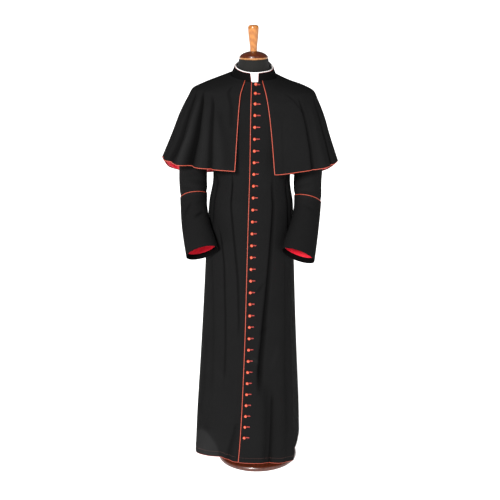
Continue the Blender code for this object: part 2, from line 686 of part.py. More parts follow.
def make_collar():
    """The standing collar with its front notch, its cord, and the white band inside."""
    shares = np.array([0.0, 0.5, 1.0])[:, None]
    left_edge = np.radians(NOTCH_LEFT + shares * NOTCH_LEFT_LEAN)
    right_edge = np.radians(NOTCH_RIGHT + shares * NOTCH_RIGHT_LEAN) + 2 * math.pi
    steps = np.linspace(0.0, 1.0, COLLAR_STEPS)[None, :]
    turn = left_edge + (right_edge - left_edge) * steps
    normal = normals(collar_surface, turn, shares)
    outer = collar_surface(turn, shares)
    inner = outer - COLLAR_WALL * normal
    add_wall("collar", hang(outer), hang(inner), "black_wool")

    middle = edge_mid(outer, inner)
    reach = COLLAR_CORD + SEAM_GAP
    upward = away(middle[-1], middle[-2])
    before = away(middle[:, 0], middle[:, 1])
    after = away(middle[:, -1], middle[:, -2])
    path = np.concatenate([
        middle[:-1, 0] + before[:-1] * reach,
        middle[-1:, 0] + (before[-1:] + upward[:1]) * reach,
        middle[-1, 1:-1] + upward[1:-1] * reach,
        middle[-1:, -1] + (after[-1:] + upward[-1:]) * reach,
        (middle[:-1, -1] + after[:-1] * reach)[::-1],
    ])
    out = np.concatenate([normal[:-1, 0], normal[-1], normal[:-1, -1][::-1]])
    add_cord("collar_piping", hang(path), out, COLLAR_CORD, "red_satin")

    notch = (left_edge + right_edge - 2 * math.pi) / 2
    ring = np.concatenate([notch, turn], 1)
    shares = np.broadcast_to(shares, ring.shape)
    normal = normals(collar_surface, ring, shares)
    outer = collar_surface(ring, shares) - (COLLAR_WALL + INSERT_GAP) * normal
    rise = away(outer[-1], outer[-2])
    outer = np.concatenate([outer, outer[-1:] + rise * INSERT_ABOVE])
    inner = outer - INSERT_WALL * np.concatenate([normal, normal[-1:]])
    add_wall("collar_insert", hang(outer), hang(inner), "white_linen", ring=True)


def make_cape():
    """The elbow cape, its red lining, and the cord round its fronts and hem."""
    heights = np.array(CAPE_ROWS)[:, None]
    start = turn_at(CAPE, along(CAPE_EDGES, "height", "left_x", heights), heights)
    end = 2 * math.pi + turn_at(CAPE, along(CAPE_EDGES, "height", "right_x", heights), heights)
    steps = np.linspace(0.0, 1.0, CAPE_STEPS)[None, :]
    turn = start + (end - start) * steps
    normal = normals(cape_surface, turn, heights)
    outer = cape_surface(turn, heights)
    inner = outer - CLOTH * normal
    add_wall("cape", hang(outer), hang(inner), "black_wool")

    middle = edge_mid(outer, inner)
    reach = FRONT_CORD + SEAM_GAP
    before = away(middle[:, 0], middle[:, 1])
    after = away(middle[:, -1], middle[:, -2])
    down = away(middle[0], middle[1])
    path = np.concatenate([
        (middle[1:, 0] + before[1:] * reach)[::-1],
        middle[:1, 0] + (before[:1] + down[:1]) * reach,
        middle[0, 1:-1] + down[1:-1] * reach,
        middle[:1, -1] + (after[:1] + down[-1:]) * reach,
        middle[1:, -1] + after[1:] * reach,
    ])
    out = np.concatenate([normal[1:, 0][::-1], normal[0], normal[1:, -1]])
    add_cord("cape_piping", hang(path), out, FRONT_CORD, "red_satin")

    rows = [row for row, height in enumerate(CAPE_ROWS) if height <= CAPE_LINING_TOP]
    sunk = CLOTH + SEAM_GAP
    lining_out = outer - sunk * normal
    lining_in = lining_out - LINING * normal
    for grid in (lining_out, lining_in):
        grid[0] = grid[0] - down * CAPE_LINING_BACK
        grid[:, 0] = grid[:, 0] - before * CAPE_LINING_BACK
        grid[:, -1] = grid[:, -1] - after * CAPE_LINING_BACK
    add_wall("cape_lining", hang(lining_out[rows]), hang(lining_in[rows]), "red_lining")


def cuff_top(around):
    """Place of the cuff's top edge: it slants up to the body and arches in front."""
    in_front = np.maximum(-np.sin(around), 0.0)
    return CUFF_TOP + CUFF_TOP_SLANT * np.cos(around) - CUFF_TOP_ARCH * in_front ** 2


def make_arm(side, name):
    """A sleeve, its deep cuff, the cord on the cuff's edge, and the red lining in it."""

    def settle(points):
        """The points for this arm, mirrored or not, and swayed with the garment."""
        sway = along(SWAY, "height", "x", points[..., 2])
        return hang(np.stack([side * points[..., 0] + sway, points[..., 1],
                              points[..., 2]], -1))

    around = np.linspace(0.0, 2 * math.pi, SLEEVE_AROUND, endpoint=False)[None, :]
    edge = cuff_top(around)
    shares = np.array([0, 0.5, 1, 1.7, 2.6, 3.6, 4.6, 5.6, 6.5, 7.3])[:, None]
    fixed = np.broadcast_to(shares, (len(shares), SLEEVE_AROUND))
    places = np.concatenate([fixed, edge - 0.15, edge, edge + CUFF_UNDERLAP])
    normal = -normals(arm_surface, around, places)
    sunk = (CLOTH + LAYER_GAP) * ease((places - edge + 0.75) / 0.6)
    outer = arm_surface(around, places) - sunk[..., None] * normal
    inner = outer - CLOTH * normal
    hole = armhole_point(around[0])
    centre = hole.mean(axis=0)
    inward = centre - hole
    outer[0] = hole
    inner[0] = hole + inward * (CLOTH / np.linalg.norm(inward, axis=1))[:, None]
    add_wall("sleeve_" + name, settle(outer), settle(inner), "black_wool", ring=True)

    steps = np.array([0.0, 0.12, 0.34, 0.58, 0.8, 1.0])[:, None]
    places = edge + (WRIST - edge) * steps
    normal = -normals(arm_surface, around, places)
    outer = arm_surface(around, places)
    inner = outer - CLOTH * normal
    add_wall("cuff_" + name, settle(outer), settle(inner), "black_wool", ring=True)

    middle = edge_mid(outer, inner)
    upward = away(middle[0], middle[1])
    path = settle(middle[0] + upward * (FRONT_CORD + SEAM_GAP))
    out = normal[0] * np.array((side, 1.0, 1.0))
    add_cord("cuff_piping_" + name, path, out, FRONT_CORD, "red_satin", ring=True)

    rows = slice(CUFF_LINING_FIRST_ROW, None)
    outer = inner[rows] - LAYER_GAP * normal[rows]
    inner = outer - LINING * normal[rows]
    for grid in (outer, inner):
        grid[-1] = grid[-1] + CUFF_LINING_BACK * (grid[-2] - grid[-1])
    add_wall("cuff_lining_" + name, settle(outer), settle(inner), "red_lining", ring=True)


def make_form():
    """The dress form: a smooth torso with its neck, a cap, a finial, a pole and a base."""
    turn = np.linspace(0.0, 2 * math.pi, FORM_AROUND, endpoint=False)
    points = []
    for row in FORM:
        x, y = section_point(FORM, turn, np.full(FORM_AROUND, row.height), 0.0)
        points.append(np.stack([x, y, np.full(FORM_AROUND, row.height)], -1))
    faces = [tuple(range(FORM_AROUND)),
             tuple((len(FORM) - 1) * FORM_AROUND + step for step in range(FORM_AROUND))]
    for row in range(len(FORM) - 1):
        for step in range(FORM_AROUND):
            near = (step + 1) % FORM_AROUND
            faces.append((row * FORM_AROUND + step, row * FORM_AROUND + near,
                          (row + 1) * FORM_AROUND + near, (row + 1) * FORM_AROUND + step))
    add_mesh("form_torso", np.concatenate(points), faces, "form_cloth")
    add_turned("neck_cap", NECK_CAP, 24, "dark_wood")
    add_turned("finial", FINIAL, 16, "honey_wood")
    pole = ((POLE_RADIUS, FORM_FOOT - SEAM_GAP), (POLE_RADIUS, POLE_FOOT))
    add_turned("pole", pole, 12, "pole_steel")
    add_turned("base", BASE, 36, "dark_wood")


clear_scene()
make_form()
make_fronts_and_back()
make_collar()
make_cape()
make_arm(1.0, "left")
make_arm(-1.0, "right")
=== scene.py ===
"""A buttoned cassock with an elbow cape on a limbless dress form, dressed round its
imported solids. Metres, +Z up. "Turn" is the angle round the body from the middle of
the front towards the wearer's left."""
import math
from collections import namedtuple

import bmesh
import bpy
import numpy as np
from mathutils import Matrix, Vector


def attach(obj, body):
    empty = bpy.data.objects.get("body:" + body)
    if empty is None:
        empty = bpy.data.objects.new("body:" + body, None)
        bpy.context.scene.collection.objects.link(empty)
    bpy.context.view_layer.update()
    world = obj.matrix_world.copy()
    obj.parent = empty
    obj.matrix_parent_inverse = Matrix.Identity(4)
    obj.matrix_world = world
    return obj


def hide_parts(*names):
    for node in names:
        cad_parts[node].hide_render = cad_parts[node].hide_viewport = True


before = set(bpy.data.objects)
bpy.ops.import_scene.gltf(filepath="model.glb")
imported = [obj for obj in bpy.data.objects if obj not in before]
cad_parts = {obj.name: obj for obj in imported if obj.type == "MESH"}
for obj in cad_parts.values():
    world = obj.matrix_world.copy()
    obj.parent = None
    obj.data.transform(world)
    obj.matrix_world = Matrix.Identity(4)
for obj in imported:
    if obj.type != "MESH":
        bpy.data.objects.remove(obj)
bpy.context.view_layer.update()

# The camera, at the photograph's angle: four metres off, a little above the
# shoulders and looking down, with the small roll that the picture has.
CAMERA_AWAY = 4.0
CAMERA_HEIGHT = 2.0
CAMERA_SIDE = math.radians(2.0)
CAMERA_DOWN = math.radians(16.0)
CAMERA_ROLL = math.radians(0.52)
FOCAL_PIXELS = 1095.0
PICTURE_PIXELS = 500.0
AXIS_PIXEL = 255.4
SENSOR_WIDTH = 36.0

sight = Vector((-math.sin(CAMERA_SIDE) * math.cos(CAMERA_DOWN),
                math.cos(CAMERA_SIDE) * math.cos(CAMERA_DOWN), -math.sin(CAMERA_DOWN)))
level = Vector((math.cos(CAMERA_SIDE), math.sin(CAMERA_SIDE), 0.0))
over = level.cross(sight)
across = math.cos(CAMERA_ROLL) * level - math.sin(CAMERA_ROLL) * over
upward = math.sin(CAMERA_ROLL) * level + math.cos(CAMERA_ROLL) * over
camera = bpy.data.objects.new("camera", bpy.data.cameras.new("camera"))
camera.matrix_world = Matrix((
    (across.x, upward.x, -sight.x, CAMERA_AWAY * math.sin(CAMERA_SIDE)),
    (across.y, upward.y, -sight.y, -CAMERA_AWAY * math.cos(CAMERA_SIDE)),
    (across.z, upward.z, -sight.z, CAMERA_HEIGHT),
    (0.0, 0.0, 0.0, 1.0)))
camera.data.sensor_width = SENSOR_WIDTH
camera.data.lens = SENSOR_WIDTH * FOCAL_PIXELS / PICTURE_PIXELS
camera.data.shift_x = -(AXIS_PIXEL - PICTURE_PIXELS / 2) / PICTURE_PIXELS
bpy.context.collection.objects.link(camera)
bpy.context.scene.camera = camera

# The two fronts and the back of the cassock: fine black wool, cut close to the
# waist and flared to the hem, joined at the side seams. The wearer's left front
# laps over the right one. It hangs from the form's shoulders, a little askew.
CLOTH = 0.0020
SEAM_GAP = 0.0003
LAYER_GAP = 0.0006
HANG_TURN = math.radians(1.8)
HANG_HEIGHT = 1.5
ARMHOLE_X = 0.168
ARMHOLE_FOOT = 1.280
ARMHOLE_TOP = 1.455
ARMHOLE_LEAN = 0.18
NECK_HEIGHT = 1.500
NECK_RISE = 0.014
RISE_FROM = 1.440
RISE_OVER = 0.060
LEFT_FALL = 0.006
FALL_FROM = 1.420
FALL_OVER = 0.040
FALL_STARTS_X = 0.040
FALL_ENDS_X = 0.120
FALL_FADE = 0.080
UNDERLAP = 0.023
UNDERLAP_BLEND = 0.025
UNDERLAP_LEAD = 0.003
BUTTON_FROM_EDGE = 0.0135
HEM_HEIGHT = 0.065
BODY_ROWS = 220
FRONT_COLUMNS = 144
BACK_COLUMNS = 150
BODY_RADIUS = 0.17
# Painted shading of the wool: its colour is multiplied by this base raised to the painted-shading
# value, giving painted shade in crease troughs and painted highlight on ridges. The insides of the
# walls get an even painted shade.
PAINTED_SHADING_BASE = 2.4
INSIDE_PAINTED_SHADE = -1.3

Section = namedtuple("Section", "height half_width front back squareness")
BODY = (
    Section(0.065, 0.203, 0.193, 0.228, 2.20),
    Section(0.210, 0.198, 0.188, 0.218, 2.20),
    Section(0.413, 0.187, 0.180, 0.200, 2.20),
    Section(0.612, 0.1775, 0.168, 0.178, 2.20),
    Section(0.805, 0.169, 0.152, 0.153, 2.20),
    Section(1.040, 0.157, 0.128, 0.112, 2.20),
    Section(1.132, 0.1435, 0.119, 0.101, 2.20),
    Section(1.190, 0.1440, 0.120, 0.101, 2.25),
    Section(1.240, 0.156, 0.125, 0.108, 2.30),
    Section(1.280, 0.168, 0.129, 0.114, 2.35),
    Section(1.340, 0.190, 0.130, 0.117, 2.40),
    Section(1.400, 0.205, 0.124, 0.111, 2.40),
    Section(1.430, 0.207, 0.118, 0.104, 2.35),
    Section(1.455, 0.1995, 0.107, 0.094, 2.25),
    Section(1.470, 0.163, 0.1005, 0.088, 2.15),
    Section(1.485, 0.121, 0.094, 0.083, 2.05),
    Section(1.500, 0.0835, 0.0865, 0.079, 2.00),
)
Edge = namedtuple("Edge", "height x")
FRONT_EDGE = (Edge(0.065, -0.0196), Edge(0.169, -0.0137), Edge(0.355, -0.0080),
              Edge(0.606, -0.0042), Edge(0.933, -0.0034), Edge(1.219, -0.0018),
              Edge(1.500, -0.0036))
Hem = namedtuple("Hem", "degrees rise")
BODY_HEM = (Hem(-180, 0.000), Hem(-112, 0.002), Hem(-96, -0.010), Hem(-84, -0.020), Hem(-72, -0.020),
            Hem(-60, -0.009), Hem(-48, 0.001), Hem(-36, 0.007), Hem(-24, 0.010), Hem(-16, 0.002),
            Hem(-8, -0.004), Hem(0, -0.006), Hem(12, -0.008), Hem(24, -0.014), Hem(36, -0.019),
            Hem(48, -0.026), Hem(60, -0.033), Hem(72, -0.040), Hem(82, -0.036), Hem(96, -0.022),
            Hem(110, -0.008), Hem(130, 0.000), Hem(180, 0.000))

# Broad waves: where each starts and ends, its half width, and its depth
Fold = namedtuple("Fold", "top top_degrees foot foot_degrees half_degrees top_depth foot_depth")
BODY_FOLDS = (
    Fold(0.700, -37, 0.065, -35, 8.0, 0.0000, 0.0060),
    Fold(0.700, -64, 0.065, -60, 10.0, 0.0000, 0.0080),
    Fold(0.850, -90, 0.065, -88, 9.0, 0.0000, -0.0110),
    Fold(0.800, 44, 0.065, 42, 8.0, 0.0000, 0.0060),
    Fold(0.750, 66, 0.065, 64, 9.0, 0.0000, 0.0130),
    Fold(0.900, 86, 0.065, 85, 8.0, -0.0010, -0.0120),
    Fold(0.900, 104, 0.065, 106, 9.0, 0.0000, 0.0180),
    Fold(1.080, 126, 0.065, 128, 8.0, -0.0020, -0.0150),
    Fold(1.080, 148, 0.065, 148, 9.0, 0.0020, 0.0120),
    Fold(1.100, 170, 0.065, 168, 8.0, -0.0030, -0.0140),
    Fold(1.080, -168, 0.065, -170, 9.0, 0.0020, 0.0120),
    Fold(1.090, -148, 0.065, -150, 8.0, -0.0030, -0.0140),
    Fold(1.060, -128, 0.065, -130, 9.0, 0.0000, 0.0120),
    Fold(0.980, -108, 0.065, -110, 8.0, -0.0020, -0.0130),
)

# Narrower folds of their own sizes: each follows a line of (height, degrees) from
# its top to its foot, with its half width and depth at both ends. Skew widens the
# flank on the wearer's left and narrows the other.
Crease = namedtuple("Crease", "line top_width foot_width top_depth foot_depth skew")
BODY_CREASES = (
    Crease(((1.200, -26), (1.073, -25.3), (1.001, -22), (0.925, -18), (0.853, -14.5),
            (0.781, -11.5), (0.629, -8.5)), 0.0036, 0.0040, -0.0042, -0.0022, 0.2),
    Crease(((0.990, -50), (0.949, -41), (0.901, -36), (0.829, -31), (0.733, -28.3),
            (0.621, -25.5), (0.505, -24), (0.440, -23.6)), 0.0036, 0.0042, -0.0036, -0.0020, 0.2),
    Crease(((1.190, 31.5), (1.077, 31.5), (1.021, 30.5), (0.929, 28), (0.809, 24.5),
            (0.705, 21.5), (0.621, 19), (0.549, 17.3), (0.490, 15.5), (0.430, 14.3)),
           0.0065, 0.0085, -0.0048, -0.0105, 0.1),
    Crease(((0.405, 18), (0.349, 22.5), (0.277, 25.5), (0.197, 25.5), (0.065, 25)),
           0.020, 0.024, -0.0050, -0.0100, 0.2),
    Crease(((0.350, 30), (0.213, 29.5), (0.113, 28.5), (0.065, 28)),
           0.0045, 0.0050, -0.0026, -0.0036, 0.3),
    Crease(((0.230, -8), (0.177, -10), (0.113, -14), (0.065, -16)),
           0.0060, 0.0090, -0.0020, -0.0045, 0.3),
    Crease(((1.160, -63), (1.077, -62), (0.980, -60)), 0.012, 0.010, -0.0090, -0.0030, 0.2),
    Crease(((0.900, -55), (0.829, -53.5), (0.685, -47), (0.493, -42), (0.380, -41)),
           0.008, 0.011, -0.0018, -0.0018, -0.2),
    Crease(((0.560, -58), (0.420, -56), (0.250, -58)), 0.010, 0.012, -0.0018, -0.0020, 0.2),
    Crease(((0.185, -41), (0.130, -45), (0.065, -47)), 0.034, 0.044, 0.0040, 0.0150, 0.0),
    Crease(((0.900, 52), (0.700, 52), (0.450, 50), (0.250, 52)),
           0.010, 0.014, -0.0012, -0.0018, 0.3),
    Crease(((0.980, 86), (0.600, 85), (0.300, 83), (0.065, 84)),
           0.012, 0.014, -0.0040, -0.0070, 0.0),
    Crease(((1.150, 64), (1.000, 62), (0.850, 64)), 0.011, 0.012, -0.0060, -0.0020, 0.2),
    Crease(((0.700, 70), (0.450, 71), (0.065, 72)), 0.010, 0.015, -0.0025, -0.0060, -0.2),
    Crease(((1.120, 118), (0.900, 116), (0.500, 117), (0.065, 118)),
           0.008, 0.013, -0.0045, -0.0090, 0.3),
    Crease(((1.140, 140), (0.850, 138), (0.400, 139), (0.065, 138)),
           0.006, 0.012, -0.0045, -0.0075, -0.3),
    Crease(((1.150, 163), (0.950, 160), (0.600, 159), (0.200, 160)),
           0.008, 0.011, -0.0060, -0.0060, 0.3),
    Crease(((1.150, -176), (0.800, -179), (0.350, -178), (0.065, -180)),
           0.006, 0.011, -0.0045, -0.0070, -0.3),
    Crease(((1.150, -156), (0.900, -159), (0.450, -158), (0.065, -160)),
           0.008, 0.013, -0.0060, -0.0085, 0.3),
    Crease(((1.130, -138), (0.800, -139), (0.300, -140)), 0.005, 0.010, -0.0040, -0.0060, -0.3),
    Crease(((1.100, -118), (0.800, -120), (0.400, -119), (0.065, -120)),
           0.008, 0.013, -0.0045, -0.0085, 0.3),
    Crease(((1.050, -96), (0.800, -98), (0.500, -99), (0.200, -100)),
           0.007, 0.012, -0.0035, -0.0060, -0.3),
)

# The hem's corner on the wearer's right swings out and has a painted highlight: an oval
# patch about a middle in (degrees, height), with its half sizes, its tone and its soft edge
Patch = namedtuple("Patch", "degrees height half_degrees half_height tone edge")
CORNER_PAINTED_HIGHLIGHT = Patch(-52, 0.065, 26, 0.100, 0.62, 0.14)

# Short drag lines: from one place to another, with half width and depth
Pull = namedtuple("Pull", "degrees height end_degrees end_height half_width depth")
BODY_PULLS = (
    Pull(24, 0.600, 13, 0.575, 0.007, -0.0018),
    Pull(-74, 1.150, -52, 1.120, 0.008, -0.0020),
    Pull(76, 1.160, 55, 1.125, 0.008, -0.0020),
    Pull(150, 1.170, 176, 1.155, 0.009, -0.0030),
    Pull(-150, 1.185, -178, 1.170, 0.009, -0.0028),
    Pull(120, 1.150, 150, 1.135, 0.008, -0.0022),
    Pull(-118, 1.160, -150, 1.140, 0.008, -0.0022),
    Pull(19, 0.772, 9, 0.733, 0.005, -0.0018),
    Pull(15, 0.461, 6, 0.480, 0.006, 0.0026),
    Pull(-32, 0.420, -20, 0.380, 0.010, 0.0012),
    Pull(40, 0.520, 28, 0.430, 0.012, 0.0016),
)


def ease(value):
    """0 below 0, 1 above 1, and 3v^2 - 2v^3 between them."""
    value = np.clip(value, 0.0, 1.0)
    return value * value * (3.0 - 2.0 * value)


def through(keys, values, value):
    """The cubic curve through points whose keys rise, with no overshoot: each inner
    slope is the harmonic mean of the two chords' slopes, or 0 where they differ in
    sign."""
    keys = np.asarray(keys, float)
    values = np.asarray(values, float)
    steps = np.diff(values) / np.diff(keys)
    slopes = np.empty_like(values)
    slopes[0] = steps[0]
    slopes[-1] = steps[-1]
    level = steps[:-1] * steps[1:] > 0
    means = 2.0 * steps[:-1] * steps[1:] / np.where(level, steps[:-1] + steps[1:], 1.0)
    slopes[1:-1] = np.where(level, means, 0.0)
    value = np.clip(np.asarray(value, float), keys[0], keys[-1])
    place = np.clip(np.searchsorted(keys, value) - 1, 0, len(keys) - 2)
    width = keys[place + 1] - keys[place]
    part = (value - keys[place]) / width
    rest = 1.0 - part
    return (values[place] * (1 + 2 * part) * rest ** 2
            + values[place + 1] * (3 - 2 * part) * part ** 2
            + width * part * rest * (slopes[place] * rest - slopes[place + 1] * part))


def along(rows, key, column, value):
    """A table's column at the given values of its key column."""
    rows = sorted(rows, key=lambda row: getattr(row, key))
    return through([getattr(row, key) for row in rows],
                   [getattr(row, column) for row in rows], value)


def power(value, exponent):
    """The value's sign times its size raised to the exponent."""
    return np.sign(value) * np.abs(value) ** exponent


def round_to(turn):
    """The same angle between minus and plus half a turn."""
    return (turn + math.pi) % (2 * math.pi) - math.pi


def waves(folds, turn, height):
    """Sum over the folds of depth * exp(-(angle from its line / half width)^2), eased
    in at the top and out at the foot."""
    total = np.zeros(np.broadcast(turn, height).shape)
    for fold in folds:
        down = np.clip((fold.top - height) / (fold.top - fold.foot), 0.0, 1.0)
        middle = np.radians(fold.top_degrees + down * (fold.foot_degrees - fold.top_degrees))
        bell = np.exp(-(round_to(turn - middle) / math.radians(fold.half_degrees)) ** 2)
        depth = fold.top_depth + down * (fold.foot_depth - fold.top_depth)
        total = total + (depth * bell * ease((fold.top + 0.03 - height) / 0.12)
                         * ease((height - fold.foot + 0.06) / 0.10))
    return total


def creased(creases, turn, height, radius):
    """Two sums over the creases of exp(-q^2), where q is the arc from the crease's line
    over the half width of that flank: times the depth, and times the depth over the
    width, which is painted shading: painted shade in troughs and painted highlight on
    ridges. Each crease grows from nothing at its top, and dies away past its foot unless
    that is at the cloth's edge."""
    swell = np.zeros(np.broadcast(turn, height).shape)
    painted_shading = np.zeros_like(swell)
    for crease in creases:
        heights = np.array([point[0] for point in crease.line], float)
        degrees = np.array([point[1] for point in crease.line], float)
        top, foot = heights[0], heights[-1]
        middle = np.radians(through(heights[::-1], degrees[::-1], height))
        down = np.clip((height - top) / (foot - top), 0.0, 1.0)
        width = crease.top_width + down * (crease.foot_width - crease.top_width)
        depth = crease.top_depth + down * (crease.foot_depth - crease.top_depth)
        beside = round_to(turn - middle) * radius
        flank = width * (1 + crease.skew * np.sign(beside))
        reach = top - foot
        shown = ease((top - height) / (0.16 * reach)) * ease(1 - (foot - height) / (0.15 * reach))
        bell = np.exp(-(beside / flank) ** 2) * shown
        swell = swell + depth * bell
        # Painted shading: painted shade where the crease is a trough, painted highlight where it is
        # a ridge
        painted_shading = painted_shading + depth / width * bell
    return swell, painted_shading


def pulled(pulls, turn, height, radius, step=1.0):
    """Two sums over the pulls of exp(-(d / half width)^2), where d is the distance on
    the flat cloth from the straight line between the pull's two ends: times the depth,
    and times the depth over the half width, which is painted shading."""
    swell = np.zeros(np.broadcast(turn, height).shape)
    painted_shading = np.zeros_like(swell)
    for pull in pulls:
        start = math.radians(pull.degrees)
        run = math.radians(pull.end_degrees - pull.degrees) * radius
        rise = (pull.end_height - pull.height) * step
        beside = round_to(turn - start) * radius
        above = (height - pull.height) * step
        part = np.clip((beside * run + above * rise) / (run ** 2 + rise ** 2), 0.0, 1.0)
        away = np.hypot(beside - part * run, above - part * rise)
        bell = np.sin(math.pi * (0.12 + 0.76 * part)) * np.exp(-(away / pull.half_width) ** 2)
        swell = swell + pull.depth * bell
        # Painted shading: painted shade along a sunk drag line, painted highlight along a raised one
        painted_shading = painted_shading + pull.depth / pull.half_width * bell
    return swell, painted_shading


def section_point(rows, turn, height, swell):
    """A point of a superellipse |x/a|^n + |y/b|^n = 1, whose a, b and n come from the
    table, moved along its outward normal by the swell."""
    half_width = along(rows, "height", "half_width", height)
    front = along(rows, "height", "front", height)
    back = along(rows, "height", "back", height)
    square = along(rows, "height", "squareness", height)
    sine = np.sin(turn)
    cosine = np.cos(turn)
    depth = np.where(cosine >= 0, front, back)
    x = half_width * power(sine, 2 / square)
    y = -depth * power(cosine, 2 / square)
    normal_x = power(sine, 2 - 2 / square) / half_width
    normal_y = -power(cosine, 2 - 2 / square) / depth
    length = np.hypot(normal_x, normal_y)
    return x + swell * normal_x / length, y + swell * normal_y / length


def neck_lift(x, turn, height):
    """The shoulders' rise towards the back of the neck, less the left shoulder's fall."""
    rise = NECK_RISE * (1 - np.cos(turn)) * ease((height - RISE_FROM) / RISE_OVER)
    near_neck = ease((x - FALL_STARTS_X) / RISE_OVER) * (1 - ease((x - FALL_ENDS_X) / FALL_FADE))
    return rise - LEFT_FALL * near_neck * ease((height - FALL_FROM) / FALL_OVER)


def body_surface(turn, height):
    """The cassock's outside: sections from the hem to the neck, with waves, creases and
    drag lines added along each section's normal."""
    turn, height = np.broadcast_arrays(np.asarray(turn, float), np.asarray(height, float))
    wrapped = round_to(turn)
    swell = (waves(BODY_FOLDS, wrapped, height)
             + creased(BODY_CREASES, wrapped, height, BODY_RADIUS)[0]
             + pulled(BODY_PULLS, wrapped, height, BODY_RADIUS)[0])
    x, y = section_point(BODY, wrapped, height, swell)
    hem = along(BODY_HEM, "degrees", "rise", np.degrees(wrapped)) * ease((0.45 - height) / 0.385)
    return np.stack([x, y, height + hem + neck_lift(x, wrapped, height)], -1)


def body_painted_shading(turn, height):
    """The cassock cloth's painted shading: painted shade in the troughs of its creases and
    drag lines, painted highlight on their ridges, and the painted highlight (tone) of the
    swung corner where sqrt(u^2 + v^2) < 1 in its half sizes."""
    turn = round_to(turn)
    patch = CORNER_PAINTED_HIGHLIGHT
    away_from = np.hypot((np.degrees(turn) - patch.degrees) / patch.half_degrees,
                         (height - patch.height) / patch.half_height)
    return (creased(BODY_CREASES, turn, height, BODY_RADIUS)[1]
            + pulled(BODY_PULLS, turn, height, BODY_RADIUS)[1]
            + patch.tone * ease((1 + patch.edge / 2 - away_from) / patch.edge))


def side_turn(height, in_front):
    """The turn, from the middle of the front or of the back, at which a panel ends at
    its side seam or at the armhole's leaning plane."""
    half_width = along(BODY, "height", "half_width", height)
    square = along(BODY, "height", "squareness", height)
    depth = np.where(in_front, along(BODY, "height", "front", height),
                     along(BODY, "height", "back", height))
    seam = np.arccos((SEAM_GAP / 2 / depth) ** (square / 2))
    plane = ARMHOLE_X + ARMHOLE_LEAN * (height - ARMHOLE_FOOT)
    cut = (height >= ARMHOLE_FOOT) & (height <= ARMHOLE_TOP)
    share = np.where(cut, np.minimum(plane / half_width, 1.0), 1.0)
    return np.minimum(np.arcsin(share ** (square / 2)), seam)


def turn_at(rows, x, height):
    """The turn at which a section has that x, in its front half."""
    half_width = along(rows, "height", "half_width", height)
    square = along(rows, "height", "squareness", height)
    return np.arcsin(power(x / half_width, square / 2))


def normals(surface, first, second):
    """Unit normals: the cross product of central differences of the surface."""
    step = 1e-4
    one = surface(first + step, second) - surface(first - step, second)
    two = surface(first, second + step) - surface(first, second - step)
    normal = np.cross(one, two)
    return normal / np.linalg.norm(normal, axis=-1, keepdims=True)


def hang(points):
    """Points turned about the collar's middle in the plane of the front."""
    lean = math.sin(HANG_TURN)
    keep = math.cos(HANG_TURN)
    x = points[..., 0]
    rise = points[..., 2] - HANG_HEIGHT
    return np.stack([x * keep + rise * lean, points[..., 1],
                     HANG_HEIGHT - x * lean + rise * keep], -1)


def squares(rows, columns, ring, start=0):
    """The corners of a grid's four-sided faces; a ring's last column meets its first."""
    row = np.arange(rows - 1)[:, None]
    column = np.arange(columns if ring else columns - 1)[None, :]
    near = (column + 1) % columns
    faces = np.stack([row * columns + column, row * columns + near,
                      (row + 1) * columns + near, (row + 1) * columns + column], -1)
    return faces.reshape(-1, 4) + start


def capped(rows, around):
    """The faces of a tube of rings, with one face to close either end."""
    faces = squares(rows, around, True).tolist()
    faces.append(list(range(around)))
    faces.append(list(range((rows - 1) * around, rows * around)))
    return faces


def lay_flat(mesh, uv):
    """Gives each corner of the mesh the flat place of its point."""
    layer = mesh.uv_layers.new(name="flat")
    corner = np.empty(len(mesh.loops), np.int32)
    mesh.loops.foreach_get("vertex_index", corner)
    layer.data.foreach_set("uv", np.asarray(uv, np.float32).reshape(-1, 2)[corner].ravel())


def finish_piece(mesh, material, sharp=None):
    """The object of a closed mesh: its faces are turned outwards and shaded smooth, but
    for edges sharper than the angle in degrees where one is given."""
    shape = bmesh.new()
    shape.from_mesh(mesh)
    bmesh.ops.recalc_face_normals(shape, faces=shape.faces)
    if shape.calc_volume(signed=True) < 0:
        bmesh.ops.reverse_faces(shape, faces=shape.faces)
    shape.to_mesh(mesh)
    shape.free()
    mesh.shade_smooth()
    if sharp is not None:
        mesh.set_sharp_from_angle(angle=math.radians(sharp))
    mesh.materials.append(material)
    piece = bpy.data.objects.new(mesh.name, mesh)
    bpy.context.collection.objects.link(piece)
    return piece


def put_mesh(name, points, faces, uv, material, sharp=50.0, painted_shading=None):
    """A piece from points, four-sided faces, a flat place for each point and, for
    cloth with creases, its painted shading there: painted shade in troughs, painted highlight on
    ridges."""
    mesh = bpy.data.meshes.new(name)
    mesh.from_pydata(np.asarray(points).reshape(-1, 3), [], np.asarray(faces))
    lay_flat(mesh, uv)
    if painted_shading is not None:
        note = mesh.attributes.new("painted_shading", "FLOAT", "POINT")
        note.data.foreach_set("value", np.asarray(painted_shading, np.float32).ravel())
    return finish_piece(mesh, material, sharp)


def flat_places(grid, ring):
    """Each point's place on the flat cloth: the length run along its row and column."""
    across = np.linalg.norm(np.diff(grid, axis=1), axis=-1)
    down = np.linalg.norm(np.diff(grid, axis=0), axis=-1).mean(axis=1)
    u = np.concatenate([np.zeros((len(grid), 1)), np.cumsum(across, axis=1)], 1)
    u = u - u[:, u.shape[1] // 2:u.shape[1] // 2 + 1]
    v = np.concatenate([[0.0], np.cumsum(down)])[:, None] + np.zeros_like(u)
    return np.stack([u, v], -1)


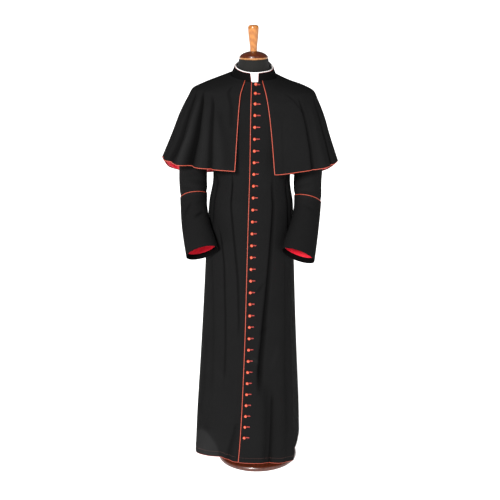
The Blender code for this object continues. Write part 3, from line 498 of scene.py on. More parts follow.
def cloth_wall(name, outer, inner, material, ring=False, painted_shading=None):
    """A wall of cloth: an outer and an inner grid, joined along their edges."""
    rows, columns = outer.shape[:2]
    count = rows * columns
    faces = [squares(rows, columns, ring), squares(rows, columns, ring, count)[:, ::-1]]
    step = np.arange(columns if ring else columns - 1)
    near = (step + 1) % columns
    last = (rows - 1) * columns
    faces.append(np.stack([step, count + step, count + near, near], -1))
    faces.append(np.stack([last + near, count + last + near, count + last + step,
                           last + step], -1))
    if not ring:
        low = np.arange(rows - 1) * columns
        high = low + columns
        end = columns - 1
        faces.append(np.stack([low, high, count + high, count + low], -1))
        faces.append(np.stack([low + end, count + low + end, count + high + end,
                               high + end], -1))
    uv = flat_places(outer, ring)
    # The inside of the wall gets an even painted shade
    if painted_shading is not None:
        painted_shading = np.concatenate([np.ravel(painted_shading), np.full(count, INSIDE_PAINTED_SHADE)])
    return put_mesh(name, np.concatenate([outer.reshape(-1, 3), inner.reshape(-1, 3)]),
                    np.concatenate(faces), np.concatenate([uv.reshape(-1, 2)] * 2), material,
                    painted_shading=painted_shading)


class Nodes:
    """Makes and joins a material's nodes; an input given as a node's socket is linked."""

    def __init__(self, name):
        self.material = bpy.data.materials.new(name)
        self.material.use_nodes = True
        self.tree = self.material.node_tree
        self.shader = self.tree.nodes["Principled BSDF"]
        self.set(self.shader, {})

    def set(self, node, inputs):
        for key, value in inputs.items():
            socket = node.inputs[key]
            if isinstance(value, bpy.types.NodeSocket):
                self.tree.links.new(value, socket)
            else:
                socket.default_value = value

    def add(self, kind, inputs=None, **settings):
        node = self.tree.nodes.new("ShaderNode" + kind)
        for key, value in settings.items():
            setattr(node, key, value)
        self.set(node, inputs or {})
        return node

    def scaled(self, source, scale, turn=0.0):
        node = self.add("Mapping", {"Vector": source, "Scale": scale,
                                    "Rotation": (0.0, 0.0, turn)})
        return node.outputs["Vector"]

    def noise(self, source, scale, detail=3.0, rough=0.5):
        node = self.add("TexNoise", {"Vector": source, "Scale": scale, "Detail": detail,
                                     "Roughness": rough})
        return node.outputs["Fac"]

    def waves(self, source, scale, distortion=0.0, detail=0.0):
        node = self.add("TexWave", {"Vector": source, "Scale": scale,
                                    "Distortion": distortion, "Detail": detail},
                        wave_type="BANDS", bands_direction="X")
        return node.outputs["Fac"]

    def ranged(self, value, low, high, from_low=0.0, from_high=1.0):
        node = self.add("MapRange", {"Value": value, "From Min": from_low,
                                     "From Max": from_high, "To Min": low, "To Max": high})
        return node.outputs["Result"]

    def math(self, operation, one, two):
        node = self.add("Math", {0: one, 1: two}, operation=operation)
        return node.outputs[0]

    def mixed(self, factor, one, two):
        node = self.add("Mix", {"Factor": factor}, data_type="RGBA")
        for socket, value in zip((node.inputs[6], node.inputs[7]), (one, two)):
            if isinstance(value, bpy.types.NodeSocket):
                self.tree.links.new(value, socket)
            else:
                socket.default_value = (*value, 1.0)
        return node.outputs[2]

    def bump(self, height, distance, strength=1.0, normal=None):
        inputs = {"Height": height, "Distance": distance, "Strength": strength}
        if normal is not None:
            inputs["Normal"] = normal
        return self.add("Bump", inputs).outputs["Normal"]


def wool_cloth(name, dark, light, twill):
    """Wool twill: diagonal ribs cut by finer cross threads on the cloth's flat places,
    with soft cloudy changes of tone, and painted shade in the troughs and painted
    highlight on the ridges from the piece's painted-shading attribute."""
    nodes = Nodes(name)
    flat = nodes.add("TexCoord").outputs["UV"]
    solid = nodes.add("TexCoord").outputs["Object"]
    ribs = nodes.waves(nodes.scaled(flat, (1 / twill, 1 / twill, 1.0), math.radians(63)), 0.5,
                       0.6, 1.0)
    threads = nodes.waves(nodes.scaled(flat, (2 / twill, 2 / twill, 1.0), math.radians(-27)), 0.5)
    weave = nodes.math("MULTIPLY", ribs, nodes.ranged(threads, 0.65, 1.0))
    cloud = nodes.noise(solid, 9.0, 4.0, 0.55)
    fibre = nodes.noise(solid, 900.0, 2.0, 0.6)
    tone = nodes.math("ADD", nodes.ranged(cloud, 0.25, 0.75),
                      nodes.ranged(weave, -0.18, 0.18))
    # Painted shading: the colour is multiplied by the base raised to the attribute, darker in
    # troughs and insides, lighter on ridges
    painted_shading = nodes.add("Attribute", attribute_name="painted_shading").outputs["Fac"]
    depth = nodes.math("POWER", PAINTED_SHADING_BASE, painted_shading)
    shade = nodes.add("Mix", {"Factor": 1.0, 6: nodes.mixed(tone, dark, light), 7: depth},
                      data_type="RGBA", blend_type="MULTIPLY")
    colour = shade.outputs[2]
    rough = nodes.ranged(nodes.math("ADD", weave, fibre), 0.90, 0.74, 0.2, 1.6)
    handle = nodes.noise(solid, 38.0, 3.0, 0.5)
    normal = nodes.bump(handle, 0.0012, 0.35)
    normal = nodes.bump(fibre, 0.00015, 0.5, normal)
    normal = nodes.bump(weave, 0.00022, 0.7, normal)
    nodes.set(nodes.shader, {"Base Color": colour, "Roughness": rough, "Normal": normal,
                             "Specular IOR Level": 0.02, "Sheen Weight": 0.0,
                             "Sheen Roughness": 0.40, "Sheen Tint": (0.82, 0.82, 0.86, 1.0)})
    return nodes.material


def dress(piece, slot, *solids):
    """The piece moves with the part and stands for the solids, which are hidden; the slot is not
    used.
    """
    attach(piece, "root")
    if solids:
        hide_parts(*solids)
    return piece


wool = wool_cloth("fine_black_wool", (0.0049, 0.0049, 0.0050), (0.0088, 0.0088, 0.0090), 0.0009)
heights = np.linspace(HEM_HEIGHT, NECK_HEIGHT, BODY_ROWS)[:, None]
edge_x = along(FRONT_EDGE, "height", "x", heights)
edge = turn_at(BODY, edge_x, heights)
button_line = turn_at(BODY, edge_x + BUTTON_FROM_EDGE, heights)
side = side_turn(heights, True)
share = np.linspace(0.0, 1.0, FRONT_COLUMNS)[None, :]
left_turn = edge + (side - edge) * share
left_out = body_surface(left_turn, heights)
left_normal = normals(body_surface, left_turn, heights)
left_in = left_out - CLOTH * left_normal
# The panels carry painted shading: painted shade in crease troughs, painted highlight on ridges and
# on the swung corner
left_front = cloth_wall("left_front", hang(left_out), hang(left_in), wool,
                        painted_shading=body_painted_shading(left_turn, heights))

under_end = turn_at(BODY, edge_x + UNDERLAP, heights)
right_turn = -side + (under_end + side) * np.linspace(0.0, 1.0, FRONT_COLUMNS + 6)[None, :]
lap = turn_at(BODY, edge_x - UNDERLAP_LEAD, heights)
lap_start = turn_at(BODY, edge_x - UNDERLAP_LEAD - UNDERLAP_BLEND, heights)
right_normal = normals(body_surface, right_turn, heights)
sunk = (CLOTH + LAYER_GAP) * ease((right_turn - lap_start) / (lap - lap_start))
right_out = body_surface(right_turn, heights) - sunk[..., None] * right_normal
right_in = right_out - CLOTH * right_normal
right_front = cloth_wall("right_front", hang(right_out), hang(right_in), wool,
                         painted_shading=body_painted_shading(right_turn, heights))

back_start = math.pi - side_turn(heights, False)
back_turn = back_start + (2 * math.pi - 2 * back_start) * np.linspace(0, 1, BACK_COLUMNS)[None, :]
back_out = body_surface(back_turn, heights)
back_normal = normals(body_surface, back_turn, heights)
back_in = back_out - CLOTH * back_normal
back_panel = cloth_wall("back_panel", hang(back_out), hang(back_in), wool,
                        painted_shading=body_painted_shading(back_turn, heights))

dress(left_front, "black_wool", "front_left")
dress(right_front, "black_wool", "front_right")
dress(back_panel, "black_wool", "back")

# The red trim cords: satin rolled over a thin cord. One is sewn down the edge of the
# left front, and one shows under the hem all the way round.
FRONT_CORD = 0.0013
HEM_CORD = 0.0009
CORD_SIDES = 8
CORD_TWIST = 0.0016


def edge_middle(outer, inner):
    """The middle of a wall's thickness."""
    return (outer + inner) / 2


def away(path, inside):
    """Unit steps from points inside an edge to the edge itself."""
    step = path - inside
    return step / np.linalg.norm(step, axis=-1, keepdims=True)


def trim_cord(name, path, out, radius, material, ring=False):
    """A round cord: circles of the radius square to the path, in the frame of each
    point's tangent and outward direction, with rounded ends."""
    if ring:
        tangent = np.roll(path, -1, axis=0) - np.roll(path, 1, axis=0)
    else:
        tangent = np.gradient(path, axis=0)
    tangent = tangent / np.linalg.norm(tangent, axis=1, keepdims=True)
    beside = np.cross(tangent, out)
    beside = beside / np.linalg.norm(beside, axis=1, keepdims=True)
    above = np.cross(beside, tangent)
    size = np.full(len(path), radius)
    if not ring:
        path = np.concatenate([path[:1] - tangent[:1] * radius, path,
                               path[-1:] + tangent[-1:] * radius])
        beside = np.concatenate([beside[:1], beside, beside[-1:]])
        above = np.concatenate([above[:1], above, above[-1:]])
        size = np.concatenate([[radius * 0.12], size, [radius * 0.12]])
    angle = np.arange(CORD_SIDES) * 2 * math.pi / CORD_SIDES
    tube = (path[:, None] + size[:, None, None]
            * (np.cos(angle)[None, :, None] * beside[:, None]
               + np.sin(angle)[None, :, None] * above[:, None]))
    closed = tube if not ring else np.concatenate([tube, tube[:1]])
    run = np.concatenate([[0.0], np.cumsum(np.linalg.norm(
        np.diff(closed.mean(axis=1), axis=0), axis=1))])
    uv = np.stack([np.broadcast_to(angle[None, :] * radius, closed.shape[:2]),
                   np.broadcast_to(run[:, None], closed.shape[:2])], -1)
    rows = len(closed)
    faces = squares(rows, CORD_SIDES, True)
    if ring:
        faces = faces % (len(tube) * CORD_SIDES)
        uv = uv[:-1]
        rows = rows - 1
    else:
        ends = [(0, 1, 2, 3), (0, 3, 4, 7), (4, 5, 6, 7)]
        last = (rows - 1) * CORD_SIDES
        faces = np.concatenate([faces, ends, [tuple(last + k for k in e) for e in ends]])
    return put_mesh(name, tube, faces, uv, material, 70.0)


def satin(name, dark, light, pitch, rough):
    """Satin: threads slant round the cord at the pitch, with a narrow change of tone,
    under a soft shine."""
    nodes = Nodes(name)
    flat = nodes.add("TexCoord").outputs["UV"]
    solid = nodes.add("TexCoord").outputs["Object"]
    threads = nodes.waves(nodes.scaled(flat, (1 / pitch, 1 / pitch, 1.0), math.radians(52)),
                          0.5, 0.4, 1.0)
    cloud = nodes.noise(solid, 60.0, 3.0, 0.5)
    tone = nodes.math("ADD", nodes.ranged(cloud, 0.2, 0.8), nodes.ranged(threads, -0.25, 0.25))
    normal = nodes.bump(threads, 0.0002, 0.6)
    nodes.set(nodes.shader, {"Base Color": nodes.mixed(tone, dark, light),
                             "Roughness": nodes.ranged(threads, rough + 0.08, rough - 0.06),
                             "Normal": normal, "Specular IOR Level": 0.5,
                             "Sheen Weight": 0.08, "Sheen Roughness": 0.4,
                             "Sheen Tint": (1.0, 0.50, 0.38, 1.0)})
    return nodes.material


red_satin = satin("red_satin_cord", (0.30, 0.030, 0.014), (0.46, 0.070, 0.034), CORD_TWIST, 0.42)
middle = edge_middle(left_out, left_in)
path = middle[:, 0] + away(middle[:, 0], middle[:, 1]) * (FRONT_CORD + SEAM_GAP)
front_cord = trim_cord("front_cord", hang(path), left_normal[:, 0], FRONT_CORD, red_satin)

hem_path = []
hem_out = []
for outer, inner, normal in ((left_out, left_in, left_normal),
                             (back_out, back_in, back_normal),
                             (right_out, right_in, right_normal)):
    wall = edge_middle(outer, inner)
    hem_path.append(wall[0] + away(wall[0], wall[1]) * (HEM_CORD + SEAM_GAP))
    hem_out.append(normal[0])
hem_path[0] = hem_path[0][1:]
hem_out[0] = hem_out[0][1:]
hem_cord = trim_cord("hem_cord", hang(np.concatenate(hem_path)), np.concatenate(hem_out),
                     HEM_CORD, red_satin)
dress(front_cord, "red_cord", "front_piping")
dress(hem_cord, "red_cord", "hem_piping")

# The hem's stitching: the hem is turned up and sewn round with a red-brown thread,
# whose small stitches show in a line above the edge.
STITCH_ABOVE_HEM = 0.019
STITCH_LENGTH = 0.0042
STITCH_PITCH = 0.0062
STITCH_RADIUS = 0.00042
STITCH_SIDES = 5


def stitch_row(name, path, out, material, length, pitch, radius, slant=0.0):
    """A row of short capsules laid on the cloth at even steps along a path: each is a
    ring of the radius at three places along it, and a point at either end."""
    run = np.concatenate([[0.0], np.cumsum(np.linalg.norm(np.diff(path, axis=0), axis=1))])
    at = np.arange(pitch, run[-1] - pitch, pitch)
    centre = np.stack([np.interp(at, run, path[:, axis]) for axis in range(3)], -1)
    ahead = np.stack([np.interp(at + pitch / 4, run, path[:, axis]) for axis in range(3)], -1)
    above = np.stack([np.interp(at, run, out[:, axis]) for axis in range(3)], -1)
    above = above / np.linalg.norm(above, axis=1, keepdims=True)
    forward = ahead - centre
    forward = forward / np.linalg.norm(forward, axis=1, keepdims=True)
    beside = np.cross(above, forward)
    forward = forward * math.cos(slant) + beside * math.sin(slant)
    beside = np.cross(above, forward)
    places = np.array([-0.5, -0.42, 0.0, 0.42, 0.5]) * length
    sizes = np.array([0.25, 0.85, 1.0, 0.85, 0.25]) * radius
    lifts = np.array([-0.6, 0.1, 0.45, 0.1, -0.6]) * radius
    angle = np.arange(STITCH_SIDES) * 2 * math.pi / STITCH_SIDES
    round_it = (np.cos(angle)[:, None, None] * beside
                + np.sin(angle)[:, None, None] * above).transpose(1, 0, 2)
    grid = (centre[:, None, None] + forward[:, None, None] * places[None, :, None, None]
            + above[:, None, None] * lifts[None, :, None, None]
            + round_it[:, None] * sizes[None, :, None, None])
    size = len(places) * STITCH_SIDES
    one = squares(len(places), STITCH_SIDES, True)
    starts = np.arange(len(at))[:, None, None] * size
    faces = (one[None] + starts).reshape(-1, 4).tolist()
    caps = np.array([tuple(range(STITCH_SIDES)), tuple(range(size - STITCH_SIDES, size))])
    faces = faces + (caps[None] + starts).reshape(-1, STITCH_SIDES).tolist()
    uv = np.stack(np.broadcast_arrays(places[None, :, None] + at[:, None, None],
                                      (angle * radius)[None, None, :]), -1)
    mesh = bpy.data.meshes.new(name)
    mesh.from_pydata(grid.reshape(-1, 3).tolist(), [], faces)
    lay_flat(mesh, uv)
    return finish_piece(mesh, material)


thread = satin("red_brown_thread", (0.050, 0.012, 0.008), (0.100, 0.026, 0.016), 0.0006, 0.55)
stitch_path = []
stitch_out = []
for grid, normal in ((left_out, left_normal), (back_out, back_normal),
                     (right_out[:, :-10], right_normal[:, :-10])):
    run = np.cumsum(np.linalg.norm(np.diff(grid[:12], axis=0), axis=-1), axis=0)
    row = int(np.argmin(np.abs(run.mean(axis=1) - STITCH_ABOVE_HEM))) + 1
    stitch_path.append(grid[row])
    stitch_out.append(normal[row])
hem_stitches = stitch_row("hem_stitches", hang(np.concatenate(stitch_path)),
                          np.concatenate(stitch_out), thread, STITCH_LENGTH, STITCH_PITCH,
                          STITCH_RADIUS)
dress(hem_stitches, "red_cord")

# Thirty-two ball buttons covered in red silk, each on a short shank, and the
# buttonholes worked in red silk that run inwards from them.
BUTTON_COUNT = 32
BUTTON_RADIUS = 0.0056
BUTTON_FLATTEN = 0.80
FIRST_BUTTON_DROP = 0.0095
LAST_BUTTON_ABOVE_HEM = 0.1048
TOP_GAPS_SHORTER = 0.24
TOP_GAPS_FADE = 2.0
BUTTON_RINGS = 10
BUTTON_SIDES = 18
HOLE_LENGTH = 0.0128
HOLE_HALF_WIDTH = 0.0012
HOLE_THREAD = 0.00075
HOLE_START = 0.0015
HOLE_POINTS = 20
HOLE_SIDES = 6

silk = satin("red_button_silk", (0.46, 0.046, 0.020), (0.66, 0.100, 0.046), 0.0007, 0.34)
hole_silk = satin("red_buttonhole_silk", (0.32, 0.024, 0.022), (0.52, 0.052, 0.042), 0.0005, 0.5)
line = body_surface(button_line, heights)[:, 0]
line_normal = normals(body_surface, button_line, heights)[:, 0]
lengths = np.concatenate([[0.0], np.cumsum(np.linalg.norm(np.diff(line, axis=0), axis=1))])
button_height = BUTTON_RADIUS * BUTTON_FLATTEN
gaps = 1 - TOP_GAPS_SHORTER * np.exp(-np.arange(BUTTON_COUNT - 1) / TOP_GAPS_FADE)
places_down = np.concatenate([[0.0], np.cumsum(gaps)]) / gaps.sum()
hole_grids = []
for number in range(BUTTON_COUNT):
    distance = (lengths[-1] - FIRST_BUTTON_DROP
                + (LAST_BUTTON_ABOVE_HEM - lengths[-1] + FIRST_BUTTON_DROP)
                * places_down[number])
    seat = np.array([np.interp(distance, lengths, line[:, axis]) for axis in range(3)])
    out = np.array([np.interp(distance, lengths, line_normal[:, axis]) for axis in range(3)])
    out = out / np.linalg.norm(out)
    wide = np.cross(out, (0.0, 0.0, 1.0))
    wide = -wide / np.linalg.norm(wide)
    if wide[0] < 0:
        wide = -wide
    high = np.cross(out, wide)
    # A ball flattened front to back, drawn in to a shank behind
    polar = np.linspace(0.04, math.pi, BUTTON_RINGS + 1)[:-1]
    radius = np.sin(polar) ** 0.9 * BUTTON_RADIUS
    radius[-1] = BUTTON_RADIUS * 0.30
    depth = np.cos(polar) * button_height
    depth[-1] = -button_height
    angle = np.arange(BUTTON_SIDES) * 2 * math.pi / BUTTON_SIDES
    centre = seat + out * (button_height + SEAM_GAP)
    ball = (centre + radius[:, None, None] * (np.cos(angle)[None, :, None] * wide
                                              + np.sin(angle)[None, :, None] * high)
            + depth[:, None, None] * out)
    mesh = bpy.data.meshes.new("ball_button_%02d" % (number + 1))
    mesh.from_pydata(hang(ball).reshape(-1, 3).tolist(), [], capped(BUTTON_RINGS, BUTTON_SIDES))
    lay_flat(mesh, np.stack([radius[:, None] * np.cos(angle),
                             radius[:, None] * np.sin(angle)], -1))
    dress(finish_piece(mesh, silk), "button_cloth", "button_%02d" % (number + 1))

    # The worked hole is a narrow loop of thread that lies on the cloth
    turn = np.interp(distance, lengths, button_line[:, 0])
    level = np.interp(distance, lengths, heights[:, 0])
    around = np.arange(HOLE_POINTS) * 2 * math.pi / HOLE_POINTS
    along_it = HOLE_START + (1 - power(np.cos(around), 0.6)) * HOLE_LENGTH / 2
    beside_it = power(np.sin(around), 0.6) * HOLE_HALF_WIDTH
    row_turn = turn + along_it / along(BODY, "height", "half_width", level)
    place = body_surface(row_turn, level + beside_it)
    lift = normals(body_surface, row_turn, level + beside_it)
    path = place + lift * HOLE_THREAD * 0.55
    tangent = np.roll(path, -1, axis=0) - np.roll(path, 1, axis=0)
    tangent = tangent / np.linalg.norm(tangent, axis=1, keepdims=True)
    beside = np.cross(tangent, lift)
    section = np.arange(HOLE_SIDES) * 2 * math.pi / HOLE_SIDES
    hole_grids.append(path[:, None] + HOLE_THREAD
                      * (np.cos(section)[None, :, None] * beside[:, None]
                         + np.sin(section)[None, :, None] * lift[:, None]))

hole_grid = hang(np.array(hole_grids))
size = HOLE_POINTS * HOLE_SIDES
one = squares(HOLE_POINTS + 1, HOLE_SIDES, True) % size
faces = (one[None] + np.arange(BUTTON_COUNT)[:, None, None] * size).reshape(-1, 4)
run = np.arange(HOLE_POINTS)[:, None] * 2 * HOLE_LENGTH / HOLE_POINTS
uv = np.stack(np.broadcast_arrays(run, np.arange(HOLE_SIDES)[None, :] * HOLE_THREAD), -1)
buttonholes = put_mesh("buttonholes", hole_grid, faces, np.concatenate([uv] * BUTTON_COUNT),
                       hole_silk, 80.0)
dress(buttonholes, "button_cloth")

# The standing collar: two layers of the wool over a stiff canvas, edged with a thin
# red cord, with a notch in front that shows the white linen band worn inside it.
COLLAR_WALL = 0.0025
COLLAR_HEIGHT = 0.0285
COLLAR_BACK_RISE = 0.0040
COLLAR_CORD = 0.0007
COLLAR_TOP_X = 0.0715
COLLAR_TOP_FRONT = 0.0745
COLLAR_TOP_BACK = 0.0725
COLLAR_ROWS = 16
COLLAR_COLUMNS = 150
INSERT_WALL = 0.0012
INSERT_GAP = 0.0005
INSERT_ABOVE = 0.0042
NOTCH_LEFT = 13.2
NOTCH_LEFT_LEAN = 2.8
NOTCH_RIGHT = -4.8
NOTCH_RIGHT_LEAN = -4.9


def collar_surface(turn, share):
    """The collar's outside: from the neck's edge to a narrower oval above it, eased
    between the two, in the share of its height."""
    turn, share = np.broadcast_arrays(np.asarray(turn, float), np.asarray(share, float))
    foot = body_surface(turn, NECK_HEIGHT)
    top_x = COLLAR_TOP_X * np.sin(turn)
    top_y = np.where(np.cos(turn) >= 0, -COLLAR_TOP_FRONT, -COLLAR_TOP_BACK) * np.cos(turn)
    height = COLLAR_HEIGHT + COLLAR_BACK_RISE * (1 - np.cos(turn))
    lean = ease(share * 0.75 + 0.125)
    lean = (lean - ease(0.125)) / (ease(0.875) - ease(0.125))
    x = foot[..., 0] + (top_x - foot[..., 0]) * lean
    y = foot[..., 1] + (top_y - foot[..., 1]) * lean
    return np.stack([x, y, foot[..., 2] + SEAM_GAP + height * share], -1)


def linen_cloth():
    """Starched white linen: a plain weave of two crossed sets of threads."""
    nodes = Nodes("starched_white_linen")
    flat = nodes.add("TexCoord").outputs["UV"]
    solid = nodes.add("TexCoord").outputs["Object"]
    warp = nodes.waves(nodes.scaled(flat, (1800.0, 1800.0, 1.0)), 0.5, 0.5, 1.0)
    weft = nodes.waves(nodes.scaled(flat, (1800.0, 1800.0, 1.0), math.pi / 2), 0.5, 0.5, 1.0)
    weave = nodes.math("MULTIPLY", warp, weft)
    cloud = nodes.noise(solid, 40.0, 3.0, 0.5)
    tone = nodes.math("ADD", nodes.ranged(cloud, 0.2, 0.6), nodes.ranged(weave, 0.0, 0.4))
    nodes.set(nodes.shader, {
        "Base Color": nodes.mixed(tone, (0.86, 0.855, 0.84), (0.95, 0.945, 0.93)),
        "Roughness": nodes.ranged(weave, 0.62, 0.5),
        "Normal": nodes.bump(weave, 0.00012, 0.5), "Specular IOR Level": 0.4})
    return nodes.material


shares = np.linspace(0.0, 1.0, COLLAR_ROWS)[:, None]
notch_left = np.radians(NOTCH_LEFT + shares * NOTCH_LEFT_LEAN)
notch_right = np.radians(NOTCH_RIGHT + shares * NOTCH_RIGHT_LEAN) + 2 * math.pi
turn = notch_left + (notch_right - notch_left) * np.linspace(0.0, 1.0, COLLAR_COLUMNS)[None, :]
normal = normals(collar_surface, turn, shares)
outer = collar_surface(turn, shares)
inner = outer - COLLAR_WALL * normal
collar_band = cloth_wall("collar_band", hang(outer), hang(inner),
                         wool_cloth("close_black_collar_wool", (0.0020, 0.0020, 0.0020),
                                    (0.0038, 0.0037, 0.0037), 0.0006))

middle = edge_middle(outer, inner)
reach = COLLAR_CORD + SEAM_GAP
rise = away(middle[-1], middle[-2])
before = away(middle[:, 0], middle[:, 1])
after = away(middle[:, -1], middle[:, -2])
path = np.concatenate([
    middle[:-1, 0] + before[:-1] * reach,
    middle[-1:, 0] + (before[-1:] + rise[:1]) * reach,
    middle[-1, 1:-1] + rise[1:-1] * reach,
    middle[-1:, -1] + (after[-1:] + rise[-1:]) * reach,
    (middle[:-1, -1] + after[:-1] * reach)[::-1]])
out = np.concatenate([normal[:-1, 0], normal[-1], normal[:-1, -1][::-1]])
collar_satin = satin("dark_red_satin_cord", (0.16, 0.012, 0.012), (0.27, 0.026, 0.022),
                     CORD_TWIST, 0.45)
collar_cord = trim_cord("collar_cord", hang(path), out, COLLAR_CORD, collar_satin)

notch_turn = notch_left + (notch_right - 2 * math.pi - notch_left) * np.linspace(
    1.0, 0.0, 9)[None, :-1]
ring_turn = np.concatenate([turn[:, :-1], notch_turn + 2 * math.pi], 1)
ring_share = np.broadcast_to(shares, ring_turn.shape)
normal = normals(collar_surface, ring_turn, ring_share)
outer = collar_surface(ring_turn, ring_share) - (COLLAR_WALL + INSERT_GAP) * normal
rise = away(outer[-1], outer[-2])
steps = np.linspace(0.0, 1.0, 4)[1:, None, None]
outer = np.concatenate([outer, outer[-1:] + rise * INSERT_ABOVE * steps])
normal = np.concatenate([normal, np.repeat(normal[-1:], 3, axis=0)])
inner = outer - INSERT_WALL * normal
linen_band = cloth_wall("linen_band", hang(outer), hang(inner), linen_cloth(), ring=True)

dress(collar_band, "black_wool", "collar")
dress(collar_cord, "red_cord", "collar_piping")
dress(linen_band, "white_linen", "collar_insert")

# The elbow cape: the same wool, cut to flare from the shoulders, lined with red
# satin and edged with red cord. It is sewn in at the collar and drapes over the arms.
CAPE_TOP = 1.5040
CAPE_FOOT = 1.2080
CAPE_LINING_TOP = 1.4560
CAPE_LINING_BACK = 0.0015
CAPE_SHIFT = -0.008
CAPE_CORD = 0.0013
LINING = 0.0010
CAPE_ROWS = 84
CAPE_COLUMNS = 577
LINING_STEP = 2
LINING_EASE = 0.0010
CAPE_RADIUS = 0.23
CAPE = (
    Section(1.208, 0.327, 0.157, 0.168, 2.05),
    Section(1.298, 0.292, 0.146, 0.148, 2.10),
    Section(1.374, 0.265, 0.1375, 0.132, 2.20),
    Section(1.432, 0.238, 0.1265, 0.115, 2.25),
    Section(1.458, 0.223, 0.1160, 0.104, 2.20),
    Section(1.474, 0.182, 0.1085, 0.097, 2.15),
    Section(1.490, 0.127, 0.1005, 0.090, 2.05),
    Section(1.504, 0.0852, 0.0882, 0.0807, 2.00),
)
CapeEdge = namedtuple("CapeEdge", "height left_x right_x")
CAPE_EDGES = (CapeEdge(1.208, 0.097, -0.050), CapeEdge(1.373, 0.071, -0.047),
              CapeEdge(1.451, 0.054, -0.044), CapeEdge(1.504, 0.035, -0.031))
CAPE_HEM = (Hem(-180, -0.088), Hem(-150, -0.088), Hem(-136, -0.078), Hem(-122, -0.068),
            Hem(-112, -0.054), Hem(-100, -0.024), Hem(-88, -0.003), Hem(-60, -0.010),
            Hem(-35, -0.014), Hem(-10, -0.018), Hem(15, -0.028), Hem(35, -0.018),
            Hem(60, -0.008), Hem(88, 0.004), Hem(108, -0.026), Hem(122, -0.056),
            Hem(135, -0.068), Hem(150, -0.088), Hem(180, -0.088))
CAPE_FOLDS = (
    Fold(1.420, 110, 1.160, 111, 8.0, 0.0000, 0.0050),
    Fold(1.420, 132, 1.160, 133, 8.0, -0.0010, -0.0110),
    Fold(1.430, 155, 1.160, 156, 9.0, 0.0000, 0.0090),
    Fold(1.430, 178, 1.160, 178, 8.0, -0.0010, -0.0110),
    Fold(1.430, -158, 1.160, -157, 9.0, 0.0000, 0.0090),
    Fold(1.420, -136, 1.160, -136, 8.0, -0.0010, -0.0110),
    Fold(1.430, -112, 1.160, -113, 9.0, 0.0000, 0.0060),
)
CAPE_CREASES = (
    Crease(((1.470, -67), (1.438, -62), (1.392, -60), (1.352, -59.5), (1.300, -59.5),
            (1.260, -60.5), (1.190, -66)), 0.009, 0.018, -0.0060, -0.0120, 0.2),
    Crease(((1.456, -54), (1.404, -50), (1.344, -49.5), (1.294, -50), (1.252, -51),
            (1.190, -50.5)), 0.010, 0.018, 0.0020, 0.0110, 0.0),
    Crease(((1.474, -53), (1.440, -47.5), (1.416, -44.5), (1.364, -42), (1.312, -41.3),
            (1.262, -41.3), (1.190, -41)), 0.0060, 0.0150, -0.0065, -0.0220, -0.1),
    Crease(((1.430, -38), (1.334, -34.5), (1.266, -32.5), (1.190, -32)),
           0.009, 0.013, 0.0010, 0.0040, 0.0),
    Crease(((1.462, -38), (1.410, -31), (1.362, -29), (1.302, -27.5), (1.230, -25),
            (1.190, -24)), 0.0060, 0.0070, -0.0045, -0.0075, -0.1),
    Crease(((1.390, -26), (1.304, -22.5), (1.246, -19.5), (1.190, -19)),
           0.009, 0.016, 0.0010, 0.0040, 0.0),
    Crease(((1.410, -25), (1.344, -19.5), (1.290, -15.5), (1.230, -13)),
           0.008, 0.014, -0.0016, -0.0026, 0.2),
    Crease(((1.490, -30), (1.452, -19), (1.414, -14.5), (1.360, -13)),
           0.0060, 0.0070, -0.0028, -0.0020, 0.2),
    Crease(((1.470, 32), (1.440, 38), (1.395, 45)), 0.0060, 0.0070, -0.0022, -0.0014, 0.2),
    Crease(((1.460, 44), (1.390, 45), (1.340, 46), (1.288, 46.5), (1.230, 45.5), (1.190, 45)),
           0.0050, 0.0060, -0.0028, -0.0062, -0.1),
    Crease(((1.440, 57), (1.340, 56), (1.190, 56)), 0.014, 0.020, 0.0010, 0.0050, 0.0),
    Crease(((1.462, 73), (1.402, 68.5), (1.348, 68), (1.294, 69), (1.232, 68), (1.190, 67.5)),
           0.0060, 0.0070, -0.0040, -0.0080, -0.1),
    Crease(((1.440, 96), (1.330, 94), (1.190, 93)), 0.008, 0.013, -0.0040, -0.0090, -0.3),
    Crease(((1.440, -84), (1.330, -84), (1.190, -85)), 0.009, 0.014, -0.0040, -0.0100, 0.3),
    Crease(((1.440, 121), (1.330, 120), (1.190, 120)), 0.008, 0.013, -0.0035, -0.0090, 0.3),
    Crease(((1.450, 144), (1.330, 143), (1.190, 144)), 0.007, 0.012, -0.0040, -0.0090, -0.3),
    Crease(((1.450, 167), (1.330, 166), (1.190, 167)), 0.008, 0.012, -0.0040, -0.0085, 0.3),
    Crease(((1.450, -169), (1.330, -168), (1.190, -168)), 0.007, 0.012, -0.0040, -0.0090, -0.3),
    Crease(((1.450, -147), (1.330, -147), (1.190, -146)), 0.008, 0.013, -0.0040, -0.0090, 0.3),
    Crease(((1.440, -124), (1.330, -124), (1.190, -124)), 0.008, 0.012, -0.0040, -0.0090, -0.3),
    Crease(((1.400, 22.5), (1.300, 22.5), (1.190, 22)), 0.004, 0.004, -0.0004, -0.0004, 0.0),
)


def cape_surface(turn, height):
    """The cape's outside: shoulders that flare to an uneven hem, with waves and creases
    added along each section's normal."""
    turn, height = np.broadcast_arrays(np.asarray(turn, float), np.asarray(height, float))
    wrapped = round_to(turn)
    swell = (waves(CAPE_FOLDS, wrapped, height)
             + creased(CAPE_CREASES, wrapped, height, CAPE_RADIUS)[0])
    x, y = section_point(CAPE, wrapped, height, swell)
    fall = np.clip((CAPE_TOP - height) / (CAPE_TOP - CAPE_FOOT), 0.0, 1.2) ** 2
    hem = along(CAPE_HEM, "degrees", "rise", np.degrees(wrapped)) * fall
    return np.stack([x + CAPE_SHIFT * np.sqrt(fall), y,
                     height + hem + neck_lift(x, wrapped, height)], -1)


